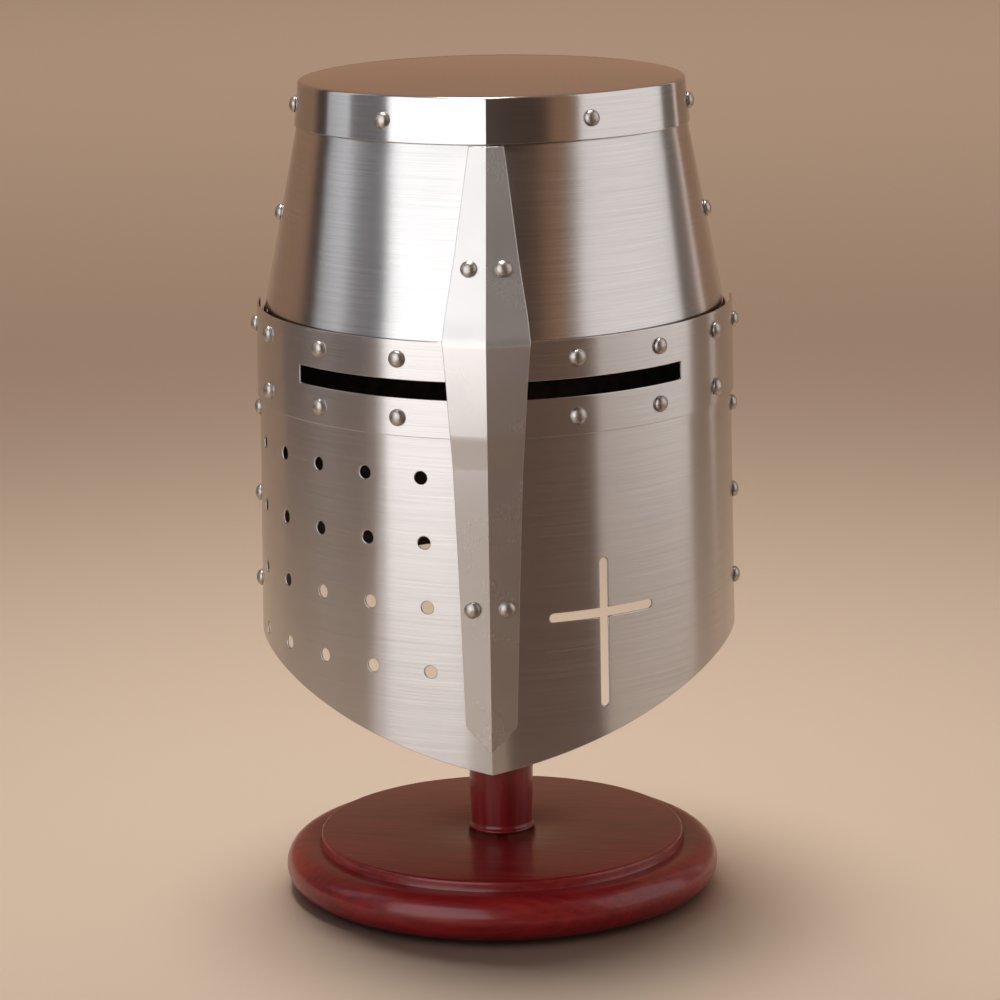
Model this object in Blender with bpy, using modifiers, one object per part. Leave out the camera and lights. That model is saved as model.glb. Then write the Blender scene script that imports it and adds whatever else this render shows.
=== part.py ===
"""Great helm of riveted steel plates, on a turned wooden display stand.

Frame: +Z up, the helm faces -Y, and the origin is under the post on the surface
the stand rests on.  Every plate is a strip of sheet lofted along one wall rule:
a half-ellipse to the front with a shallow crease, and a half-ellipse to the back.
Lengths are in metres.
"""
import bpy
import bmesh
from math import radians, sin, cos, tan, pi, ceil, floor
from mathutils import Matrix, Vector

# ---------------------------------------------------------------- sheet metal
SHEET = 0.0009            # plate thickness
GAP = 0.0003              # clearance kept between touching pieces
LAYER = SHEET + GAP       # one plate lies this far outside the next
FACET = radians(7.5)      # turn between the section's corners
SEAM_FRONT = radians(92)  # front plates reach this far round
SEAM_BACK = radians(82)   # back plates start this far round
SEAM_TURN = radians(87)   # line of the side rivets

# Heights of the plates' edges
CROWN_TOP = 0.3767
CROWN_LIP = 0.3571
SKULL_TOP = 0.3725
SKULL_FOOT = 0.2635
BAND_TOP = 0.2773
BAND_FOOT = 0.2354
FACE_TOP = 0.2492
NAPE_TOP = 0.2742
NAPE_ARCH = 0.0100        # rise of the back plate's rim from the sides to the nape
SIDE_RIM = 0.1265
CHIN = 0.0867
RIM_MIX = (0.61, 0.39)    # shares of the even and the late rise of the rim from chin to side
RIM_POWER = 2.5           # power of the late rise

# Walls: height, half width, front depth, back depth, crease depth
CROWN_WALL = [
    (CROWN_TOP, 0.0868, 0.0696, 0.0964, 0.010),
    (CROWN_LIP, 0.0889, 0.0742, 0.0984, 0.010),
]
SKULL_WALL = [
    (SKULL_TOP, 0.0860, 0.0694, 0.0956, 0.010),
    (CROWN_LIP, 0.0877, 0.0730, 0.0972, 0.010),
    (BAND_TOP, 0.1035, 0.1096, 0.1204, 0.010),
    (SKULL_FOOT, 0.1040, 0.1098, 0.1206, 0.010),
]
BODY_WALL = [
    (BAND_TOP, 0.1064, 0.1098, 0.1222, 0.010),
    (CHIN, 0.1092, 0.1106, 0.1225, 0.010),
]
CROWN_DOME = 0.0018       # rise of the flat crown at its middle
CROWN_RING = 0.55         # ring of corners inside its edge, as a share of the way out
HAIR = 0.0005             # step along a wall that finds its slope

# Sight slots and cross
SLOT_TOP = 0.2600
SLOT_FOOT = 0.2522
SLOT_INNER = 0.0140
SLOT_OUTER = 0.0830
CUT_REACH = 0.2           # the slots' cutter passes from the middle to beyond the face
CROSS_TURN = radians(27)
CROSS_HEIGHT = 0.1554
CROSS_UP = 0.0242
CROSS_DOWN = 0.0421
CROSS_SPAN = 0.0520
CROSS_WIDTH = 0.0040
CROSS_DEPTH = 0.06        # length of its cutters, square to the wall

# Breaths: one column to each turn, one row to each height, wearer's right side
BREATH_RADIUS = 0.0029
BREATH_FIRST = radians(15.8)
BREATH_PITCH = radians(14.4)
BREATH_LEAN = radians(0.6)
BREATH_COLUMNS = 5
BREATH_TOP = 0.2176
BREATH_DROP = 0.0286
BREATH_ROWS = 4
BREATH_EDGE = 0.008       # least height of a breath's middle above the rim
BREATH_DEPTH = 0.02
BREATH_STEPS = 10

# Keel strip: height, half width, lift of its edges above the body wall
KEEL_FOLD = radians(14)
KEEL_STATIONS = [
    (0.3564, 0.0077, GAP),
    (0.3100, 0.0141, GAP),
    (0.2860, 0.0180, GAP + 0.3 * LAYER),
    (BAND_TOP, 0.0190, GAP + LAYER),
    (0.2620, 0.0178, GAP + LAYER),
    (BAND_FOOT, 0.0160, GAP + LAYER),
    (0.2240, 0.0152, GAP + 0.3 * LAYER),
    (0.1750, 0.0133, GAP),
    (0.1085, 0.0112, GAP),
]
KEEL_TIP = 0.0970

# Rivets
RIVET_HEAD = 0.0038
RIVET_RISE = 0.0028
RIVET_SHANK = 0.0016
RIVET_TAIL = 0.0030
RIVET_TAIL_RISE = 0.0012
RIVET_HOLE = 0.0023
RIVET_STEPS = 8
RIVET_ROUND = (0.72, 0.68)  # corner of the head's round, as shares of its radius and its rise
RIVET_TAIL_FLAT = 0.8      # flat of the tail, as a share of its radius
RIVET_HOLE_DEPTH = 0.030
RIVET_HOLE_STEPS = 6
CROWN_RIVET_TURNS = (31, 149, 211, 329)
CROWN_RIVET_Z = 0.3660
SKULL_RIVET_Z = 0.3175
BAND_RIVET_Z = (0.2690, 0.2435)
BAND_RIVET_TURNS = (21, 43.3, 66.5)
SEAM_RIVET_Z = (0.2670, 0.2285, 0.1885, 0.1485)
KEEL_RIVET_Z = (0.3068, 0.1610)
KEEL_RIVET_X = 0.0074
NAPE_RIVET_TURNS = (150, 180, 210)

# Liner and chin strap
LEATHER = 0.0025
LINER_TOP = 0.3250
LINER_FOOT = 0.2860
LINER_FRONT = 0.0800
LINER_BACK = 0.0950
LINER_EYE = 0.0180        # radius of the laced opening in the liner's crown
LINER_EYE_Z = 0.3560
LINER_ROWS = 3            # bands of the liner's crown, from its edge to the eye
TONGUE = 0.8              # the tongues' leather, as a share of the band's
LACE = 0.0016
LACE_STEPS = (20, 6)
STRAP_X = 0.1018
STRAP_Y = -0.0058          # level with the side rivets
STRAP_WIDTH = 0.0160
TAB_TOP = 0.2380
STRAP_TOP = 0.2140
STRAP_BEND = 0.0006        # room above each strap for its corner to turn
STRAP_LONG = 0.0840
STRAP_SHORT = 0.0620
BUCKLE_HEIGHT = 0.0200
BUCKLE_WIDTH = 0.0240
BUCKLE_BAR = 0.0028
PRONG = 0.0020
BUCKLE_CUT = 0.01         # the frame's cutter reaches this far to each side

# Stand
FELT = 0.0015
BASE_FOOT = FELT + GAP
BASE_TOP = 0.0266
BASE_RADIUS = 0.1005
DISC_RADIUS = 0.0843
DISC_STEP = 0.0045        # the disc's top stands this far above the round foot
DISC_EDGE = 0.0012        # chamfer of the disc's rim
FOOT_STEPS = 6
POST_TOP = 0.3020         # its shoulder, under the tenon
POST_TAPER = [(0.0125, 0), (0.0125, 0.010), (0.0110, 0.018), (0.0118, 0.080), (0.0138, 0.160)]  # radius, drop
POST_SWELL = [(0.0150, 0.040), (0.0145, 0.020), (0.0138, 0.0035), (0.0152, 0.0020), (0.0152, 0)]  # radius, rise
TENON_RADIUS = 0.0080
TENON_LENGTH = 0.0200
KNOB_RADIUS = 0.0420
KNOB_TOP = 0.3455
KNOB_ROUND = 0.012        # radius of its shoulder
KNOB_DROP = 0.014         # the shoulder's middle is this far under the top
KNOB_ARC = (radians(75), radians(-60), 6)
KNOB_NECK = [(0.0190, 0.008), (0.0165, 0)]  # radius, rise
PAD_TOP = 0.3525
PAD_FLAT = 0.0250
PAD_ROUND = 0.006
PAD_SHOULDER = 0.003
PAD_UNDERCUT = 0.001
FELT_RADIUS = 0.088
FELT_HOLE = 0.008
SCREW_RADIUS = 0.0025
SCREW_TOP = 0.0700
SCREW_TIP = 0.004
SCREW_HEAD = 0.0050
SCREW_SINK = 0.004        # depth of the hole for its head
SCREW_HEAD_Z = (0.0008, 0.0032)  # foot and top of the head, above the base's foot
SCREW_NECK = 0.0003       # fillet under the head
TURN_STEPS = 36           # faces round a turned piece

parts = bpy.data.collections.new("knight_helmet")
cutters = bpy.data.collections.new("cutters")


def clear_scene():
    for old in list(bpy.data.objects):
        bpy.data.objects.remove(old, do_unlink=True)
    for group in (parts, cutters):
        bpy.context.scene.collection.children.link(group)


def finish(name, color, roughness, metallic):
    material = bpy.data.materials.new(name)
    material.use_nodes = True
    shader = material.node_tree.nodes["Principled BSDF"]
    shader.inputs["Base Color"].default_value = (*color, 1.0)
    shader.inputs["Roughness"].default_value = roughness
    shader.inputs["Metallic"].default_value = metallic
    return material


def add_object(name, mesh, material=None, group=None):
    piece = bpy.data.objects.new(name, mesh)
    (group or parts).objects.link(piece)
    if material:
        mesh.materials.append(material)
    return piece


def mesh_from(name, edit):
    mesh = bpy.data.meshes.new(name)
    edit.to_mesh(mesh)
    edit.free()
    return mesh


# ------------------------------------------------------------------ wall rule
def section(wall, height):
    """Half width, front, back and crease of a wall at one height."""
    upper, lower = wall[0], wall[1]
    for upper, lower in zip(wall, wall[1:]):
        if height >= lower[0]:
            break
    share = (upper[0] - height) / (upper[0] - lower[0])
    return [u + (v - u) * share for u, v in zip(upper[1:], lower[1:])]


def wall_point(wall, turn, height, layer=0):
    """Point on a wall's outer face; turn 0 is the crease and 180 the nape."""
    half_width, front, back, crease = section(wall, height)
    out = layer * LAYER
    side, facing = sin(turn), cos(turn)
    x = (half_width + out) * side
    if facing >= 0:
        y = -(front + out) * facing - crease * (1 - abs(side))
    else:
        y = -(back + out) * facing
    return Vector((x, y, height))


def wall_normal(wall, turn, height, layer=0):
    across = wall_point(wall, turn + HAIR, height, layer) - wall_point(wall, turn - HAIR, height, layer)
    down = wall_point(wall, turn, height - HAIR, layer) - wall_point(wall, turn, height + HAIR, layer)
    return down.cross(across).normalized()


def rim_height(turn):
    """Lower edge of the face plate, which drops to a point at the chin."""
    side = min(abs(sin(turn)), 1.0)
    return CHIN + (SIDE_RIM - CHIN) * (RIM_MIX[0] * side + RIM_MIX[1] * side ** RIM_POWER)


def nape_rim_height(turn):
    """Lower edge of the back plate, arched over the nape."""
    return SIDE_RIM + NAPE_ARCH * max(0.0, -cos(turn))


def facet_turns(first, last):
    """The section's corners from first to last, with both ends."""
    inner = range(floor(first / FACET) + 1, ceil(last / FACET))
    return [first] + [step * FACET for step in inner] + [last]


def grid_faces(edit, rows, closed=False):
    """Quads between rows of vertices, facing outwards when rows run downwards."""
    for upper, lower in zip(rows, rows[1:]):
        count = len(upper)
        for i in range(count if closed else count - 1):
            k = (i + 1) % count
            edit.faces.new((upper[i], lower[i], lower[k], upper[k]))


def solidify(piece, thickness, offset=-1):
    shell = piece.modifiers.new("thickness", "SOLIDIFY")
    shell.thickness = thickness
    shell.offset = offset
    shell.use_even_offset = True


def plate(name, wall, layer, ends, heights, material):
    """A strip of sheet along a wall; a height may be a rule of the turn."""
    turns = facet_turns(*ends)
    edit = bmesh.new()
    rows = []
    for height in heights:
        level = height if callable(height) else (lambda turn, fixed=height: fixed)
        rows.append([edit.verts.new(wall_point(wall, t, level(t), layer)) for t in turns])
    grid_faces(edit, rows)
    piece = add_object(name, mesh_from(name, edit), material)
    solidify(piece, SHEET)
    return piece


def crown_cap(material):
    """Flat crown with its edge turned down outside the skull plates."""
    turns = [i * FACET for i in range(round(2 * pi / FACET))]
    centre = Vector((0, (CROWN_WALL[0][3] - CROWN_WALL[0][2]) / 2, CROWN_TOP))
    edit = bmesh.new()
    pole = edit.verts.new(centre + Vector((0, 0, CROWN_DOME)))
    rows = []
    for share in (CROWN_RING, 1.0):
        ring = [centre.lerp(wall_point(CROWN_WALL, t, CROWN_TOP), share) for t in turns]
        rise = Vector((0, 0, CROWN_DOME * (1 - share ** 2)))
        rows.append([edit.verts.new(point + rise) for point in ring])
    rows.append([edit.verts.new(wall_point(CROWN_WALL, t, CROWN_LIP)) for t in turns])
    grid_faces(edit, rows, closed=True)
    for i, corner in enumerate(rows[0]):
        edit.faces.new((pole, corner, rows[0][(i + 1) % len(turns)]))
    piece = add_object("crown_cap", mesh_from("crown_cap", edit), material)
    solidify(piece, SHEET)
    return piece


# ----------------------------------------------------------------- keel strip
def keel_edge(height, half_width, lift):
    """Where the strip's edge stands in front of the plates."""
    wall = SKULL_WALL if height > BAND_TOP else BODY_WALL
    half = section(wall, height)[0]
    turn = half_width / half
    return wall_point(wall, turn, height).y - lift - SHEET


def keel_station(height):
    """Half width and edge place of the strip at any height."""
    for upper, lower in zip(KEEL_STATIONS, KEEL_STATIONS[1:]):
        if height >= lower[0]:
            break
    share = (upper[0] - height) / (upper[0] - lower[0])
    upper_y, lower_y = keel_edge(*upper), keel_edge(*lower)
    return upper[1] + (lower[1] - upper[1]) * share, upper_y + (lower_y - upper_y) * share


def keel_point(x, height):
    half_width, edge = keel_station(height)
    return Vector((x, edge - (half_width - abs(x)) * tan(KEEL_FOLD), height))


def keel_normal(x, height):
    across = keel_point(x + HAIR, height) - keel_point(x - HAIR, height)
    down = keel_point(x, height - HAIR) - keel_point(x, height + HAIR)
    return down.cross(across).normalized()


def keel_strip(material):
    edit = bmesh.new()
    rows = []
    for height, half_width, lift in KEEL_STATIONS:
        rows.append([edit.verts.new(keel_point(x, height)) for x in (-half_width, 0, half_width)])
    grid_faces(edit, rows)
    tip = keel_point(0, KEEL_STATIONS[-1][0])
    tip.z = KEEL_TIP
    point = edit.verts.new(tip)
    left, ridge, right = rows[-1]
    edit.faces.new((left, point, ridge))
    edit.faces.new((ridge, point, right))
    piece = add_object("keel_strip", mesh_from("keel_strip", edit), material)
    solidify(piece, SHEET)
    return piece


# ------------------------------------------------------------ turned pieces
def turned(name, profile, material, steps=TURN_STEPS, place=None):
    """A profile of (radius, height), read down the outer side, spun about Z."""
    edit = bmesh.new()
    corners = [edit.verts.new((radius, 0, height)) for radius, height in profile]
    for upper, lower in zip(corners, corners[1:]):
        edit.edges.new((upper, lower))
    piece = add_object(name, mesh_from(name, edit), material)
    spin = piece.modifiers.new("turning", "SCREW")
    spin.steps = steps
    spin.render_steps = steps
    spin.use_merge_vertices = True
    spin.merge_threshold = 0.00001
    if place:
        piece.matrix_world = place
    return piece


def arc(centre, radius, start, stop, count):
    """Points of a round stretch of a profile, angles from the radius axis."""
    turns = [start + (stop - start) * i / count for i in range(count + 1)]
    return [(centre[0] + radius * cos(t), centre[1] + radius * sin(t)) for t in turns]


def standing(point, axis):
    """Matrix that stands a piece's Z along an axis at a point."""
    return Matrix.Translation(point) @ axis.to_track_quat("Z", "Y").to_matrix().to_4x4()


# ------------------------------------------------------------------- cutters
cutter_meshes = {}


def cut(piece, mesh, place, pass_name="holes"):
    """Adds one shape to the cutter that a piece takes in one Boolean."""
    edit = cutter_meshes.setdefault((piece.name, pass_name), bmesh.new())
    copy = mesh.copy()
    copy.transform(place)
    edit.from_mesh(copy)
    bpy.data.meshes.remove(copy)


def apply_cuts():
    for (piece_name, pass_name), edit in cutter_meshes.items():
        name = f"cut_{piece_name}_{pass_name}"
        tool = add_object(name, mesh_from(name, edit), group=cutters)
        tool.hide_render = True
        tool.display_type = "WIRE"
        boolean = bpy.data.objects[piece_name].modifiers.new(pass_name, "BOOLEAN")
        boolean.operation = "DIFFERENCE"
        boolean.object = tool


def rod_mesh(radius, length, steps):
    edit = bmesh.new()
    bmesh.ops.create_cone(edit, cap_ends=True, segments=steps, radius1=radius, radius2=radius, depth=length)
    return mesh_from("rod", edit)


def rounded_slot_mesh(length, width, depth):
    """Slot with round ends, long along X and cut along Z."""
    edit = bmesh.new()
    bmesh.ops.create_cone(edit, cap_ends=True, segments=12, radius1=width / 2, radius2=width / 2, depth=depth)
    bmesh.ops.rotate(edit, verts=edit.verts, matrix=Matrix.Rotation(pi / 12, 3, "Z"))
    for corner in edit.verts:
        corner.co.x += (length - width) / 2 * (1 if corner.co.x > 0 else -1)
    return mesh_from("slot", edit)


def box_mesh(low, high):
    edit = bmesh.new()
    size = Vector(high) - Vector(low)
    middle = (Vector(high) + Vector(low)) / 2
    bmesh.ops.create_cube(edit, size=1, matrix=Matrix.Translation(middle) @ Matrix.Diagonal((*size, 1)))
    return mesh_from("box", edit)


# -------------------------------------------------------------------- rivets
def rivet(name, head, axis, grip, plates, material):
    """Round-headed rivet through its plates; head is a point on the outer face."""
    foot = -grip - 2 * GAP
    profile = [
        (0, RIVET_RISE), (RIVET_ROUND[0] * RIVET_HEAD, RIVET_ROUND[1] * RIVET_RISE), (RIVET_HEAD, 0),
        (RIVET_SHANK, 0), (RIVET_SHANK, foot), (RIVET_TAIL, foot),
        (RIVET_TAIL_FLAT * RIVET_TAIL, foot - RIVET_TAIL_RISE),
        (0, foot - RIVET_TAIL_RISE),
    ]
    place = standing(head + axis * GAP, axis)
    turned(name, profile, material, steps=RIVET_STEPS, place=place)
    hole = rod_mesh(RIVET_HOLE, RIVET_HOLE_DEPTH, RIVET_HOLE_STEPS)
    for holed in plates:
        cut(holed, hole, place)


def wall_rivet(name, outer, inner, turn, height, plates, material, extra=0.0):
    """Rivet square to a wall; outer and inner are the wall and layer at each end."""
    head = wall_point(outer[0], turn, height, outer[1])
    tail = wall_point(inner[0], turn, height, inner[1])
    axis = wall_normal(outer[0], turn, height, outer[1])
    grip = (head - tail).dot(axis) + SHEET + extra
    rivet(name, head, axis, grip, plates, material)


def all_rivets(steel, plates):
    crown, front, back = plates["crown_cap"], plates["skull_front"], plates["skull_back"]
    band, face, nape = plates["sight_band"], plates["face_plate"], plates["nape_plate"]
    keel, liner = plates["keel_strip"], plates["liner_band"]
    for number, degrees in enumerate(CROWN_RIVET_TURNS):
        skull, layer = (front, 0) if cos(radians(degrees)) > 0 else (back, -1)
        wall_rivet(f"rivet_crown_{number + 1}", (CROWN_WALL, 0), (SKULL_WALL, layer), radians(degrees),
                   CROWN_RIVET_Z, (crown, skull), steel)
    for side, hand in ((1, "left"), (-1, "right")):
        seam = side * SEAM_TURN
        wall_rivet(f"rivet_crown_{hand}", (CROWN_WALL, 0), (SKULL_WALL, -1), seam,
                   CROWN_RIVET_Z, (crown, front, back), steel)
        wall_rivet(f"rivet_skull_{hand}", (SKULL_WALL, 0), (SKULL_WALL, -1), seam,
                   SKULL_RIVET_Z, (front, back, liner), steel, extra=LEATHER + 2 * GAP)
        wall_rivet(f"rivet_seam_{hand}_1", (BODY_WALL, 1), (SKULL_WALL, -1), seam,
                   SEAM_RIVET_Z[0], (band, nape, front, back), steel)
        for number, height in enumerate(SEAM_RIVET_Z[1:]):
            holed = [face, nape]
            extra = 0.0
            if number == 0:
                holed.append(plates[f"strap_tab_{hand}"])
                inside = wall_point(BODY_WALL, SEAM_TURN, height, -1).x - SHEET
                extra = inside - STRAP_X + LEATHER / 2
            wall_rivet(f"rivet_seam_{hand}_{number + 2}", (BODY_WALL, 0), (BODY_WALL, -1), seam,
                       height, holed, steel, extra)
        for number, degrees in enumerate(BAND_RIVET_TURNS):
            turn = side * radians(degrees)
            wall_rivet(f"rivet_brow_{hand}_{number + 1}", (BODY_WALL, 1), (SKULL_WALL, 0), turn,
                       BAND_RIVET_Z[0], (band, front), steel)
            wall_rivet(f"rivet_cheek_{hand}_{number + 1}", (BODY_WALL, 1), (BODY_WALL, 0), turn,
                       BAND_RIVET_Z[1], (band, face), steel)
        for where, height, wall, under in zip(("upper", "lower"), KEEL_RIVET_Z, (SKULL_WALL, BODY_WALL),
                                              (front, face)):
            head = keel_point(side * KEEL_RIVET_X, height)
            axis = keel_normal(side * KEEL_RIVET_X, height)
            turn = side * KEEL_RIVET_X / section(wall, height)[0]
            grip = (head - wall_point(wall, turn, height)).dot(axis) + SHEET + 2 * GAP
            rivet(f"rivet_keel_{where}_{hand}", head, axis, grip, (keel, under), steel)
    for number, degrees in enumerate(NAPE_RIVET_TURNS):
        wall_rivet(f"rivet_nape_{number + 1}", (BODY_WALL, -1), (SKULL_WALL, -1), radians(degrees),
                   BAND_RIVET_Z[0], (nape, back), steel)


# ------------------------------------------------------- openings in plates
def sight_slots(band):
    for side in (1, -1):
        low, high = sorted((side * SLOT_INNER, side * SLOT_OUTER))
        slot = box_mesh((low, -CUT_REACH, SLOT_FOOT), (high, 0.0, SLOT_TOP))
        cut(band, slot, Matrix.Identity(4))


def cross_opening(face):
    """Upright slot, then the level one across it; both cut square to the wall."""
    centre = wall_point(BODY_WALL, CROSS_TURN, CROSS_HEIGHT)
    axis = wall_normal(BODY_WALL, CROSS_TURN, CROSS_HEIGHT)
    axis.z = 0
    across = Vector((0, 0, 1)).cross(axis).normalized()
    level = Matrix.Translation(centre) @ Matrix((across, Vector((0, 0, 1)), axis)).transposed().to_4x4()
    height = CROSS_UP + CROSS_DOWN
    upright = rounded_slot_mesh(height, CROSS_WIDTH, CROSS_DEPTH)
    upright.transform(Matrix.Rotation(pi / 2, 4, "Z"))
    cut(face, upright, level @ Matrix.Translation((0, (CROSS_UP - CROSS_DOWN) / 2, 0)))
    cut(face, rounded_slot_mesh(CROSS_SPAN, CROSS_WIDTH, CROSS_DEPTH), level, "cross_bar")


def breaths(face):
    """Round air holes in columns that lean in towards the crease."""
    hole = rod_mesh(BREATH_RADIUS, BREATH_DEPTH, BREATH_STEPS)
    for column in range(BREATH_COLUMNS):
        for row in range(BREATH_ROWS):
            lean = BREATH_LEAN * row * (1 - column / (2 * BREATH_COLUMNS))
            turn = -(BREATH_FIRST + BREATH_PITCH * column - lean)
            height = BREATH_TOP - BREATH_DROP * row
            if height - rim_height(turn) < BREATH_EDGE:
                continue
            place = standing(wall_point(BODY_WALL, turn, height), wall_normal(BODY_WALL, turn, height))
            cut(face, hole, place)


# ----------------------------------------------------------- liner and strap
def liner_ring(edit, share, height, outline_height):
    """Ring between the liner's own outline, share 1, and its laced eye, share 0."""
    reach = section(SKULL_WALL, outline_height)[0] - LAYER - SHEET - 2 * GAP
    ring = []
    for i in range(round(2 * pi / FACET)):
        turn = i * FACET
        depth = LINER_FRONT if cos(turn) >= 0 else LINER_BACK
        outline = Vector((reach * sin(turn), -depth * cos(turn), height))
        eye = Vector((LINER_EYE * sin(turn), -LINER_EYE * cos(turn), height))
        ring.append(edit.verts.new(eye.lerp(outline, share)))
    return ring


def liner(leather, cord):
    """Brow band and a crown of tongues drawn together by a lace."""
    edit = bmesh.new()
    rows = [liner_ring(edit, 1, height, height) for height in (LINER_TOP, LINER_FOOT)]
    grid_faces(edit, rows, closed=True)
    band = add_object("liner_band", mesh_from("liner_band", edit), leather)
    solidify(band, LEATHER)
    edit = bmesh.new()
    rows = []
    seat = LINER_TOP + LEATHER
    rise = LINER_EYE_Z - seat
    for step in range(LINER_ROWS + 1):
        share = step / LINER_ROWS
        height = seat + rise * cos(share * pi / 2)
        rows.append(liner_ring(edit, share, height, seat))
    grid_faces(edit, rows, closed=True)
    crown = add_object("liner_crown", mesh_from("liner_crown", edit), leather)
    solidify(crown, LEATHER * TONGUE)
    bpy.ops.mesh.primitive_torus_add(major_radius=LINER_EYE, minor_radius=LACE, major_segments=LACE_STEPS[0],
                                     minor_segments=LACE_STEPS[1], location=(0, 0, LINER_EYE_Z + LACE + 2 * GAP))
    lace = bpy.context.object
    lace.name = "liner_lace"
    move_to_parts(lace, cord)
    return band


def move_to_parts(piece, material):
    for group in list(piece.users_collection):
        group.objects.unlink(piece)
    parts.objects.link(piece)
    piece.data.materials.append(material)


def moving(name, place):
    """Empty on a joint's axis, which its moving pieces hang from."""
    axis = bpy.data.objects.new(name, None)
    axis.location = place
    parts.objects.link(axis)
    return axis


def block(name, size, middle, material, axis=None):
    """Box of a size about a middle, held by an axis empty where it moves."""
    half = Vector(size) / 2
    origin = axis.location if axis else Vector((0, 0, 0))
    middle = Vector(middle) - origin
    piece = add_object(name, box_mesh(middle - half, middle + half), material)
    piece.parent = axis
    return piece


def chin_strap(leather, brass):
    """Tabs under the side rivets, two hanging straps, and a buckle on one."""
    tabs = {}
    for side, hand, length in ((1, "left", STRAP_SHORT), (-1, "right", STRAP_LONG)):
        x, y = side * STRAP_X, STRAP_Y
        tab_height = TAB_TOP - STRAP_TOP - GAP
        tab = block(f"strap_tab_{hand}", (LEATHER, STRAP_WIDTH, tab_height),
                    (x, y, TAB_TOP - tab_height / 2), leather)
        tabs[f"strap_tab_{hand}"] = tab
        top = STRAP_TOP - STRAP_BEND
        swing = moving(f"axis_strap_{hand}", (x, y, top))
        block(f"strap_{hand}", (LEATHER, STRAP_WIDTH, length), (x, y, top - length / 2), leather, swing)
        if hand == "left":
            buckle(x, top - length - GAP, brass, swing)
    return tabs


def buckle(x, top, brass, swing):
    """Square frame under the short strap's end, with a prong on its inner side."""
    frame = block("strap_buckle", (BUCKLE_BAR, BUCKLE_WIDTH, BUCKLE_HEIGHT),
                  (x, STRAP_Y, top - BUCKLE_HEIGHT / 2), brass, swing)
    reach = BUCKLE_WIDTH / 2 - BUCKLE_BAR
    low = (x - BUCKLE_CUT, STRAP_Y - reach, top - BUCKLE_HEIGHT + BUCKLE_BAR)
    high = (x + BUCKLE_CUT, STRAP_Y + reach, top - BUCKLE_BAR)
    cut(frame, box_mesh(low, high), Matrix.Translation(-swing.location))
    prong_x = x - BUCKLE_BAR / 2 - GAP - PRONG / 2
    prong_top = top - BUCKLE_BAR / 2
    hinge = moving("axis_prong", Vector((prong_x, STRAP_Y, prong_top)) - swing.location)
    hinge.parent = swing
    prong = add_object("buckle_prong", box_mesh((-PRONG / 2, -PRONG / 2, -BUCKLE_HEIGHT + BUCKLE_BAR),
                                                (PRONG / 2, PRONG / 2, 0)), brass)
    prong.parent = hinge


# --------------------------------------------------------------------- stand
def base_profile():
    """Disc with a stepped edge over a round foot, bored for the screw."""
    step = BASE_TOP - DISC_STEP
    bulge = (step - BASE_FOOT) / 2
    foot_middle = (BASE_RADIUS - bulge, BASE_FOOT + bulge)
    bore = SCREW_RADIUS + GAP
    sink = SCREW_HEAD + GAP
    return [
        (bore, BASE_TOP), (DISC_RADIUS - DISC_EDGE, BASE_TOP), (DISC_RADIUS, BASE_TOP - DISC_EDGE),
        (DISC_RADIUS, step), *arc(foot_middle, bulge, pi / 2, -pi / 2, FOOT_STEPS),
        (sink, BASE_FOOT), (sink, BASE_FOOT + SCREW_SINK), (bore, BASE_FOOT + SCREW_SINK), (bore, BASE_TOP),
    ]


def post_profile():
    """Turned post: a ring at the foot, a swell, a long taper and a tenon."""
    foot = BASE_TOP + GAP
    bore = SCREW_RADIUS + GAP
    return [
        (0, POST_TOP + TENON_LENGTH), (TENON_RADIUS, POST_TOP + TENON_LENGTH), (TENON_RADIUS, POST_TOP),
        *((radius, POST_TOP - drop) for radius, drop in POST_TAPER),
        *((radius, foot + rise) for radius, rise in POST_SWELL),
        (bore, foot), (bore, SCREW_TOP + GAP), (0, SCREW_TOP + GAP),
    ]


def knob_profile():
    """Mushroom head that turns on the post's tenon."""
    foot = POST_TOP + GAP
    bore = TENON_RADIUS + GAP
    shoulder = (KNOB_RADIUS - KNOB_ROUND, KNOB_TOP - KNOB_DROP)
    return [
        (0, KNOB_TOP), (PAD_FLAT, KNOB_TOP), *arc(shoulder, KNOB_ROUND, *KNOB_ARC),
        *((radius, foot + rise) for radius, rise in KNOB_NECK), (bore, foot),
        (bore, POST_TOP + TENON_LENGTH + GAP), (0, POST_TOP + TENON_LENGTH + GAP),
    ]


def pad_profile():
    under = KNOB_TOP + GAP
    rim = PAD_FLAT + PAD_ROUND
    return [(0, PAD_TOP), (PAD_FLAT, PAD_TOP), (rim, PAD_TOP - PAD_SHOULDER), (rim, under + PAD_UNDERCUT),
            (rim - PAD_UNDERCUT, under), (0, under)]


def stand(wood, felt, steel):
    turned("stand_base", base_profile(), wood)
    turned("base_felt", [(FELT_HOLE, FELT), (FELT_RADIUS, FELT), (FELT_RADIUS, 0), (FELT_HOLE, 0),
                         (FELT_HOLE, FELT)], felt, steps=24)
    head_foot, head_top = (BASE_FOOT + rise for rise in SCREW_HEAD_Z)
    turned("stand_screw", [(0, SCREW_TOP), (SCREW_RADIUS, SCREW_TOP - SCREW_TIP),
                           (SCREW_RADIUS, head_top + SCREW_NECK), (SCREW_HEAD, head_top),
                           (SCREW_HEAD, head_foot), (0, head_foot)], steel, steps=12)
    turned("stand_post", post_profile(), wood, steps=20)
    knob_axis = moving("axis_stand_head", (0, 0, POST_TOP))
    for name, profile, material, steps in (("stand_head", knob_profile(), wood, 28),
                                           ("stand_pad", pad_profile(), felt, 28)):
        lifted = [(radius, height - POST_TOP) for radius, height in profile]
        piece = turned(name, lifted, material, steps=steps)
        piece.parent = knob_axis


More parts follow.
